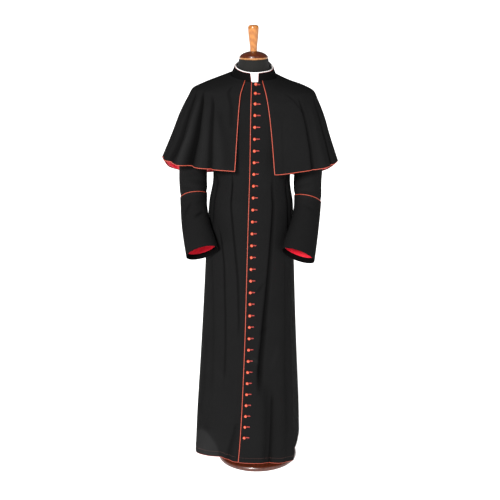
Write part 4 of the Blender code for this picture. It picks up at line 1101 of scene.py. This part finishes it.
def lining_satin():
    """Red lining satin: fine threads along the cloth, with a wet-looking shine."""
    nodes = Nodes("red_lining_satin")
    flat = nodes.add("TexCoord").outputs["UV"]
    solid = nodes.add("TexCoord").outputs["Object"]
    threads = nodes.waves(nodes.scaled(flat, (1400.0, 1400.0, 1.0)), 0.5, 1.5, 2.0)
    cloud = nodes.noise(solid, 45.0, 4.0, 0.6)
    tone = nodes.math("ADD", nodes.ranged(cloud, 0.1, 0.9), nodes.ranged(threads, -0.1, 0.1))
    normal = nodes.bump(nodes.noise(solid, 110.0, 3.0, 0.5), 0.0016, 0.5)
    nodes.set(nodes.shader, {
        "Base Color": nodes.mixed(tone, (0.50, 0.004, 0.012), (0.85, 0.020, 0.050)),
        "Roughness": nodes.ranged(threads, 0.46, 0.36),
        "Normal": nodes.bump(threads, 0.0001, 0.5, normal), "Specular IOR Level": 0.5,
        "Sheen Weight": 0.05, "Sheen Roughness": 0.35, "Sheen Tint": (1.0, 0.45, 0.42, 1.0)})
    return nodes.material


lining_cloth = lining_satin()
cape_heights = np.linspace(CAPE_FOOT, CAPE_TOP, CAPE_ROWS)[:, None]
start = turn_at(CAPE, along(CAPE_EDGES, "height", "left_x", cape_heights), cape_heights)
end = 2 * math.pi + turn_at(CAPE, along(CAPE_EDGES, "height", "right_x", cape_heights),
                            cape_heights)
turn = start + (end - start) * np.linspace(0.0, 1.0, CAPE_COLUMNS)[None, :]
normal = normals(cape_surface, turn, cape_heights)
outer = cape_surface(turn, cape_heights)
inner = outer - CLOTH * normal
# Painted shading of the cape: painted shade in the creases' troughs, painted highlight on their
# ridges
painted_shading = creased(CAPE_CREASES, round_to(turn), cape_heights, CAPE_RADIUS)[1]
shoulder_cape = cloth_wall("shoulder_cape", hang(outer), hang(inner), wool, painted_shading=painted_shading)

middle = edge_middle(outer, inner)
reach = CAPE_CORD + SEAM_GAP
before = away(middle[:, 0], middle[:, 1])
after = away(middle[:, -1], middle[:, -2])
down = away(middle[0], middle[1])
path = np.concatenate([
    (middle[1:, 0] + before[1:] * reach)[::-1],
    middle[:1, 0] + (before[:1] + down[:1]) * reach * 0.8,
    middle[0, 1:-1] + down[1:-1] * reach,
    middle[:1, -1] + (after[:1] + down[-1:]) * reach * 0.8,
    middle[1:, -1] + after[1:] * reach])
out = np.concatenate([normal[1:, 0][::-1], normal[0], normal[1:, -1]])
cape_cord = trim_cord("cape_cord", hang(path), out, CAPE_CORD, red_satin)

lined = int(np.sum(cape_heights[:, 0] <= CAPE_LINING_TOP))
lining_out = (outer - (CLOTH + SEAM_GAP + LINING_EASE) * normal)[:lined, ::LINING_STEP]
lining_in = lining_out - LINING * normal[:lined, ::LINING_STEP]
for grid in (lining_out, lining_in):
    grid[0] = grid[0] - down[::LINING_STEP] * CAPE_LINING_BACK
    grid[:, 0] = grid[:, 0] - before[:lined] * CAPE_LINING_BACK
    grid[:, -1] = grid[:, -1] - after[:lined] * CAPE_LINING_BACK
cape_satin = cloth_wall("cape_satin", hang(lining_out), hang(lining_in), lining_cloth)

dress(shoulder_cape, "black_wool", "cape")
dress(cape_cord, "red_cord", "cape_piping")
dress(cape_satin, "red_lining", "cape_lining")

# The sleeves and their deep turned-back cuffs: wool tubes that hang from the armholes
# and bend forward below the elbow. A red cord marks each cuff's upper edge, and the
# red lining shows inside its mouth.
SLEEVE_AROUND = 96
SLEEVE_ROWS = 110
CUFF_ROWS = 64
CUFF_TOP = 8.10
CUFF_TOP_SLANT = 0.15
CUFF_TOP_ARCH = 0.35
CUFF_UNDERLAP = 0.45
CUFF_CORD = 0.0012
CUFF_LINING_BACK = 0.085
ARMHOLE_BLEND = 1.0
ARM_RADIUS = 0.056
ARM_STEP = 0.042
Ring = namedtuple("Ring", "place body_x body_z outer_x outer_z middle_y half_depth lean_degrees")
ARM = (
    Ring(0, 0.1685, 1.2800, 0.2000, 1.4550, 0.000, 0.066, 0),
    Ring(1, 0.1720, 1.2680, 0.2230, 1.4380, 0.000, 0.067, 0),
    Ring(2, 0.1705, 1.2500, 0.2400, 1.4050, 0.000, 0.066, 0),
    Ring(3, 0.1685, 1.2280, 0.2550, 1.3550, 0.000, 0.064, 0),
    Ring(4, 0.1665, 1.2050, 0.2640, 1.2950, 0.000, 0.062, 0),
    Ring(5, 0.1640, 1.1750, 0.2670, 1.2250, 0.000, 0.060, 0),
    Ring(6, 0.1615, 1.1320, 0.2660, 1.1400, 0.000, 0.059, 2),
    Ring(7, 0.1615, 1.1000, 0.2655, 1.0950, -0.001, 0.058, 7),
    Ring(8, 0.1625, 1.0700, 0.2645, 1.0580, -0.007, 0.058, 16),
    Ring(9, 0.1620, 1.0400, 0.2620, 1.0240, -0.025, 0.057, 27),
    Ring(10, 0.1560, 1.0060, 0.2580, 0.9860, -0.053, 0.057, 35),
    Ring(11, 0.1445, 0.9680, 0.2520, 0.9440, -0.084, 0.056, 38),
    Ring(12, 0.1290, 0.9320, 0.2445, 0.9010, -0.114, 0.055, 38),
    Ring(13, 0.1165, 0.8970, 0.2360, 0.8590, -0.144, 0.055, 38),
)
WRIST = 13.0
SWAY = (Edge(0.860, 0.006), Edge(0.970, 0.000), Edge(1.060, -0.002), Edge(1.130, -0.005),
        Edge(1.250, 0.000))

# Drag lines of each arm: degrees round the sleeve (0 is its outer side, -90 its front)
# and places down it. The wearer's right sleeve is the more rumpled one.
ARM_PULLS = {
    1: (Pull(-40, 7.2, -120, 7.5, 0.008, -0.0016), Pull(-150, 6.8, -80, 6.3, 0.009, -0.0016),
        Pull(40, 7.6, 120, 8.0, 0.009, -0.0022), Pull(30, 8.6, 140, 8.8, 0.008, -0.0020),
        Pull(170, 9.0, 110, 8.2, 0.008, -0.0020), Pull(-60, 9.6, -100, 9.2, 0.009, -0.0010),
        Pull(60, 10.6, 130, 10.0, 0.010, -0.0015), Pull(150, 7.0, 60, 6.2, 0.010, -0.0020)),
    -1: (Pull(-92, 10.6, -135, 10.1, 0.0050, -0.0036), Pull(-44, 10.2, -82, 9.2, 0.007, -0.0028),
         Pull(-40, 11.4, -44, 10.2, 0.009, -0.0018), Pull(-110, 9.3, -150, 8.9, 0.007, -0.0014),
         Pull(-30, 7.0, -100, 7.3, 0.008, -0.0018), Pull(-150, 6.6, -70, 6.2, 0.010, -0.0022),
         Pull(-120, 5.6, -60, 5.9, 0.009, -0.0018), Pull(40, 7.6, 120, 8.0, 0.009, -0.0024),
         Pull(30, 8.6, 140, 8.9, 0.008, -0.0022), Pull(170, 9.1, 110, 8.3, 0.008, -0.0020),
         Pull(60, 10.4, 130, 10.0, 0.010, -0.0018), Pull(150, 7.0, 60, 6.2, 0.010, -0.0020)),
}


def armhole_point(around):
    """A point of the armhole's edge, where the body's sections meet a leaning plane."""
    height = ((ARMHOLE_FOOT + ARMHOLE_TOP) / 2
              + np.cos(around) * (ARMHOLE_TOP - ARMHOLE_FOOT) / 2)
    in_front = np.sin(around) < 0
    turn = side_turn(height, in_front)
    point = body_surface(np.where(in_front, turn, math.pi - turn), height)
    point[..., 0] = point[..., 0] + LAYER_GAP
    point[..., 1] = np.where(np.abs(np.sin(around)) < 1e-6, 0.0, point[..., 1])
    return point


def arm_surface(around, place, drag=()):
    """The sleeve's outside: an oval ring at each place from the armhole (0) to the
    wrist, moved out along the ring's radius by the drag lines."""
    around, place = np.broadcast_arrays(np.asarray(around, float), np.asarray(place, float))
    body_x, body_z, outer_x, outer_z, middle_y, half_depth, lean = (
        along(ARM, "place", column, place) for column in Ring._fields[1:])
    lean = np.radians(lean)
    swell = pulled(drag, around, place, ARM_RADIUS, ARM_STEP)[0] / ARM_RADIUS
    wide = np.cos(around) * (1 + swell)
    deep = np.sin(around) * (1 + swell)
    x = (body_x + outer_x) / 2 + wide * (outer_x - body_x) / 2
    y = middle_y + deep * half_depth * np.cos(lean)
    z = ((body_z + outer_z) / 2 + wide * (outer_z - body_z) / 2
         - deep * half_depth * np.sin(lean))
    ring = np.stack([x, y, z], -1)
    hole = armhole_point(around)
    return ring + (hole - ring) * (1 - ease(place / ARMHOLE_BLEND))[..., None]


def cuff_top(around):
    """The place of the cuff's upper edge: slanted up to the body, arched in front."""
    in_front = np.maximum(-np.sin(around), 0.0)
    return CUFF_TOP + CUFF_TOP_SLANT * np.cos(around) - CUFF_TOP_ARCH * in_front ** 2


around = np.linspace(0.0, 2 * math.pi, SLEEVE_AROUND, endpoint=False)[None, :]
for hand, which in ((1, "left"), (-1, "right")):

    def settle(points):
        """The points for this arm, mirrored or not, swayed and hung."""
        sway = along(SWAY, "height", "x", points[..., 2])
        return hang(np.stack([hand * points[..., 0] + sway, points[..., 1],
                              points[..., 2]], -1))

    def sleeve_surface(turn, place):
        """This arm's outside, with its own drag lines."""
        return arm_surface(turn, place, ARM_PULLS[hand])

    edge_place = cuff_top(around)
    places = (edge_place + CUFF_UNDERLAP) * np.linspace(0.0, 1.0, SLEEVE_ROWS)[:, None] ** 1.05
    normal = -normals(sleeve_surface, around, places)
    sunk = (CLOTH + LAYER_GAP) * ease((places - edge_place + 0.75) / 0.6)
    outer = sleeve_surface(around, places) - sunk[..., None] * normal
    inner = outer - CLOTH * normal
    hole = armhole_point(around[0])
    inward = hole.mean(axis=0) - hole
    outer[0] = hole
    inner[0] = hole + inward * (CLOTH / np.linalg.norm(inward, axis=1))[:, None]
    # Painted shading of the sleeve: painted shade along its drag lines
    painted_shading = pulled(ARM_PULLS[hand], around, places, ARM_RADIUS, ARM_STEP)[1]
    sleeve = cloth_wall(which + "_sleeve", settle(outer), settle(inner), wool, True, painted_shading)

    places = edge_place + (WRIST - edge_place) * np.linspace(0.0, 1.0, CUFF_ROWS)[:, None]
    normal = -normals(sleeve_surface, around, places)
    outer = sleeve_surface(around, places)
    inner = outer - CLOTH * normal
    # Painted shading of the cuff: painted shade along its drag lines
    painted_shading = pulled(ARM_PULLS[hand], around, places, ARM_RADIUS, ARM_STEP)[1]
    cuff = cloth_wall(which + "_cuff", settle(outer), settle(inner), wool, True, painted_shading)

    middle = edge_middle(outer, inner)
    rise = away(middle[0], middle[1])
    path = settle(middle[0] + rise * (CUFF_CORD + SEAM_GAP))
    out = normal[0] * np.array((hand, 1.0, 1.0))
    cuff_cord = trim_cord(which + "_cuff_cord", path, out, CUFF_CORD, red_satin, ring=True)

    first = int(0.34 * CUFF_ROWS)
    outer = inner[first:] - LAYER_GAP * normal[first:]
    back_by = CUFF_LINING_BACK * np.linspace(0.0, 1.0, len(outer))[:, None] ** 4
    places = places[first:] - back_by * (WRIST - edge_place)
    normal = -normals(sleeve_surface, around, places)
    outer = sleeve_surface(around, places) - (CLOTH + LAYER_GAP) * normal
    inner = outer - LINING * normal
    cuff_satin = cloth_wall(which + "_cuff_satin", settle(outer), settle(inner), lining_cloth,
                            ring=True)

    dress(sleeve, "black_wool", "sleeve_" + which)
    dress(cuff, "black_wool", "cuff_" + which)
    dress(cuff_cord, "red_cord", "cuff_piping_" + which)
    dress(cuff_satin, "red_lining", "cuff_lining_" + which)

# The dress form that wears it: a padded torso covered in black jersey, on a steel pole
# in a turned wooden base, with a turned wooden cap and finial on its neck.
FORM_AROUND = 96
FORM_ROWS = 80
TURNED_AROUND = 128
POLE_RADIUS = 0.0125
POLE_FOOT = 0.0453
FORM_FOOT = 0.7600
FORM = (
    Section(0.760, 0.122, 0.100, 0.094, 2.1),
    Section(0.800, 0.132, 0.112, 0.104, 2.1),
    Section(0.900, 0.136, 0.116, 0.108, 2.1),
    Section(1.000, 0.133, 0.108, 0.100, 2.1),
    Section(1.100, 0.122, 0.100, 0.089, 2.1),
    Section(1.160, 0.121, 0.101, 0.088, 2.1),
    Section(1.240, 0.138, 0.108, 0.096, 2.2),
    Section(1.340, 0.160, 0.114, 0.103, 2.3),
    Section(1.400, 0.176, 0.109, 0.098, 2.3),
    Section(1.428, 0.181, 0.102, 0.091, 2.25),
    Section(1.449, 0.1745, 0.095, 0.083, 2.2),
    Section(1.4655, 0.1577, 0.088, 0.077, 2.1),
    Section(1.4820, 0.1203, 0.079, 0.072, 2.0),
    Section(1.4970, 0.084, 0.071, 0.068, 2.0),
    Section(1.5060, 0.0640, 0.0630, 0.0620, 2.0),
    Section(1.540, 0.0585, 0.0585, 0.0585, 2.0),
    Section(1.5725, 0.0535, 0.0535, 0.0535, 2.0),
)
NECK_CAP = ((0.0002, 1.6003), (0.0100, 1.6000), (0.0180, 1.5992), (0.0330, 1.5950),
            (0.0455, 1.5880), (0.0488, 1.5845), (0.0492, 1.5828), (0.0515, 1.5820),
            (0.0525, 1.5796), (0.0525, 1.5760), (0.0512, 1.5735), (0.0490, 1.5730),
            (0.0002, 1.5730))
RIM_TOP = 1.5800
RIM_BLEND = 0.0004
FINIAL = ((0.0002, 1.6936), (0.0080, 1.6935), (0.0150, 1.6922), (0.0188, 1.6875),
          (0.0198, 1.6800), (0.0192, 1.6680), (0.0174, 1.6480), (0.0150, 1.6280),
          (0.0134, 1.6120), (0.0132, 1.6045), (0.0132, 1.6003), (0.0002, 1.6003))
BASE = ((0.0128, 0.0453), (0.0180, 0.0450), (0.0450, 0.0430), (0.0850, 0.0375),
        (0.1200, 0.0300), (0.1400, 0.0248), (0.1430, 0.0226), (0.1445, 0.0222),
        (0.1530, 0.0170), (0.1550, 0.0100), (0.1540, 0.0040), (0.1500, 0.0003),
        (0.1480, 0.0000), (0.0002, 0.0000))


def turned(name, profile, rows, around, material, sharp=35.0):
    """A turned piece: a smooth curve through the profile's points, spun about the
    upright axis, with its ends closed."""
    profile = np.array(profile)
    key = np.concatenate([[0.0], np.cumsum(np.linalg.norm(np.diff(profile, axis=0), axis=1))])
    at = np.unique(np.concatenate([np.linspace(0.0, key[-1], rows), key]))
    radius = through(key, profile[:, 0], at)
    height = through(key, profile[:, 1], at)
    angle = np.arange(around) * 2 * math.pi / around
    grid = np.stack(np.broadcast_arrays(radius[:, None] * np.cos(angle),
                                        radius[:, None] * np.sin(angle), height[:, None]), -1)
    mesh = bpy.data.meshes.new(name)
    mesh.from_pydata(grid.reshape(-1, 3).tolist(), [], capped(len(at), around))
    return finish_piece(mesh, material, sharp)


def jersey_cloth():
    """Black jersey: columns of small knitted loops, matt and slightly fuzzy."""
    nodes = Nodes("black_jersey")
    solid = nodes.add("TexCoord").outputs["Object"]
    loops = nodes.add("TexVoronoi", {"Vector": solid, "Scale": 620.0}).outputs["Distance"]
    cloud = nodes.noise(solid, 22.0, 3.0, 0.5)
    nodes.set(nodes.shader, {
        "Base Color": nodes.mixed(nodes.ranged(cloud, 0.2, 0.8), (0.0068, 0.0067, 0.0062),
                                  (0.0115, 0.0112, 0.0102)),
        "Roughness": nodes.ranged(loops, 0.85, 0.95), "Normal": nodes.bump(loops, 0.0003, 0.4),
        "Specular IOR Level": 0.15, "Sheen Weight": 0.06, "Sheen Roughness": 0.5,
        "Sheen Tint": (0.8, 0.8, 0.84, 1.0)})
    return nodes.material


def varnished_wood(name, dark, light, rings, rough):
    """Turned and varnished wood: wavy rings about an axis off the middle, fine pores
    along the grain, and a clear coat."""
    nodes = Nodes(name)
    solid = nodes.add("TexCoord").outputs["Object"]
    grain = nodes.add("Mapping", {"Vector": solid, "Scale": (1.0, 1.0, 0.22),
                                  "Rotation": (0.35, 0.2, 0.0),
                                  "Location": (0.031, 0.017, 0.0)}).outputs["Vector"]
    bands = nodes.add("TexWave", {"Vector": grain, "Scale": rings, "Distortion": 5.0,
                                  "Detail": 3.0, "Detail Scale": 1.2},
                      wave_type="RINGS", rings_direction="Y").outputs["Fac"]
    pores = nodes.noise(nodes.scaled(solid, (420.0, 420.0, 60.0)), 1.0, 3.0, 0.6)
    tone = nodes.math("ADD", nodes.ranged(bands, 0.25, 0.60), nodes.ranged(pores, -0.15, 0.25))
    nodes.set(nodes.shader, {
        "Base Color": nodes.mixed(tone, dark, light),
        "Roughness": nodes.ranged(pores, rough, rough + 0.12),
        "Normal": nodes.bump(pores, 0.0001, 0.25), "Specular IOR Level": 0.5,
        "Coat Weight": 0.28, "Coat Roughness": 0.10, "Coat IOR": 1.4})
    return nodes, tone


rows = np.linspace(FORM_FOOT, FORM[-1].height, FORM_ROWS)
turn = np.linspace(0.0, 2 * math.pi, FORM_AROUND, endpoint=False)[None, :]
x, y = section_point(FORM, turn, rows[:, None], 0.0)
grid = np.stack(np.broadcast_arrays(x, y, rows[:, None]), -1)
inset = grid[[0, -1]] * np.array((0.02, 0.02, 1.0))
grid = np.concatenate([inset[:1], grid, inset[1:]])
mesh = bpy.data.meshes.new("torso_cover")
mesh.from_pydata(grid.reshape(-1, 3).tolist(), [], capped(len(grid), FORM_AROUND))
dress(finish_piece(mesh, jersey_cloth(), 50.0), "form_cloth", "form_torso")

base_nodes, _ = varnished_wood("dark_varnished_wood", (0.026, 0.0045, 0.0015),
                               (0.080, 0.014, 0.0035), 26.0, 0.30)
base = turned("base_disc", BASE, 60, TURNED_AROUND, base_nodes.material)
dress(base, "dark_wood", "base")

# The cap's upper side is dark, and its rolled rim is left in the honey colour
cap_nodes, cap_tone = varnished_wood("two_tone_varnished_wood", (0.075, 0.016, 0.008),
                                     (0.180, 0.045, 0.020), 60.0, 0.28)
height = cap_nodes.add("SeparateXYZ", {
    "Vector": cap_nodes.add("TexCoord").outputs["Object"]}).outputs["Z"]
honey = cap_nodes.mixed(cap_tone, (0.20, 0.075, 0.016), (0.40, 0.17, 0.045))
dark = cap_nodes.mixed(cap_tone, (0.034, 0.0055, 0.0010), (0.100, 0.017, 0.0025))
cap_nodes.set(cap_nodes.shader, {"Base Color": cap_nodes.mixed(
    cap_nodes.ranged(height, 0.0, 1.0, RIM_TOP - RIM_BLEND, RIM_TOP + RIM_BLEND), honey, dark)})
cap = turned("neck_cap_wood", NECK_CAP, 60, TURNED_AROUND, cap_nodes.material)
dress(cap, "dark_wood", "neck_cap")

finial_nodes, _ = varnished_wood("honey_varnished_wood", (0.22, 0.060, 0.008),
                                 (0.50, 0.200, 0.038), 70.0, 0.26)
finial = turned("finial_wood", FINIAL, 70, 64, finial_nodes.material)
dress(finial, "honey_wood", "finial")


def brushed_steel():
    """Steel tube: fine rings left by polishing, in roughness and in a faint bump."""
    nodes = Nodes("polished_steel_tube")
    solid = nodes.add("TexCoord").outputs["Object"]
    lines = nodes.noise(nodes.scaled(solid, (3.0, 3.0, 900.0)), 1.0, 3.0, 0.6)
    nodes.set(nodes.shader, {
        "Base Color": nodes.mixed(lines, (0.50, 0.50, 0.51), (0.66, 0.66, 0.67)),
        "Roughness": nodes.ranged(lines, 0.22, 0.38),
        "Normal": nodes.bump(lines, 0.00005, 0.3), "Metallic": 1.0})
    return nodes.material


pole = turned("pole_tube", ((0.0002, FORM_FOOT - SEAM_GAP), (POLE_RADIUS, FORM_FOOT - SEAM_GAP),
                            (POLE_RADIUS, POLE_FOOT), (0.0002, POLE_FOOT)), 24, 48,
              brushed_steel())
dress(pole, "pole_steel", "pole")

# The studio: a plain pale floor with a lamp of its own that keeps it white, a wide
# soft light from the left in front, a weaker one from the right, and a pale surround.
FLOOR_HALF = 120.0
mesh = bpy.data.meshes.new("studio_floor")
mesh.from_pydata([(-FLOOR_HALF, -FLOOR_HALF, 0.0), (FLOOR_HALF, -FLOOR_HALF, 0.0),
                  (FLOOR_HALF, FLOOR_HALF, 0.0), (-FLOOR_HALF, FLOOR_HALF, 0.0)], [],
                 [(0, 1, 2, 3)])
floor_nodes = Nodes("pale_floor")
floor_cloud = floor_nodes.noise(floor_nodes.add("TexCoord").outputs["Object"], 1.5, 2.0, 0.5)
floor_nodes.set(floor_nodes.shader, {
    "Base Color": floor_nodes.mixed(floor_cloud, (0.86, 0.86, 0.86), (0.90, 0.90, 0.90)),
    "Roughness": 0.9, "Specular IOR Level": 0.1})
mesh.materials.append(floor_nodes.material)
floor = bpy.data.objects.new("studio_floor", mesh)
bpy.context.collection.objects.link(floor)

Lamp = namedtuple("Lamp", "name towards strength spread_degrees colour")
LAMPS = (
    Lamp("key", (-0.26, -0.88, 0.42), 5.5, 14.0, (1.0, 0.99, 0.98)),
    Lamp("fill", (0.70, -0.90, 0.20), 0.55, 30.0, (0.98, 0.99, 1.0)),
    Lamp("floor_lamp", (0.0, 0.0, 1.0), 3.6, 50.0, (1.0, 1.0, 1.0)),
)
for lamp in LAMPS:
    light = bpy.data.lights.new(lamp.name, "SUN")
    light.angle = math.radians(lamp.spread_degrees)
    light.energy = lamp.strength
    light.color = lamp.colour
    holder = bpy.data.objects.new(lamp.name, light)
    holder.location = lamp.towards
    holder.rotation_euler = Vector(lamp.towards).to_track_quat("Z", "Y").to_euler()
    bpy.context.collection.objects.link(holder)
only_floor = bpy.data.collections.new("only_floor")
only_floor.objects.link(floor)
holder.light_linking.receiver_collection = only_floor
holder.light_linking.blocker_collection = only_floor

world = bpy.data.worlds.new("studio_surround")
world.use_nodes = True
world.node_tree.nodes["Background"].inputs["Color"].default_value = (1.0, 1.0, 1.0, 1.0)
world.node_tree.nodes["Background"].inputs["Strength"].default_value = 0.14
bpy.context.scene.world = world
bpy.context.scene.view_settings.view_transform = "Standard"
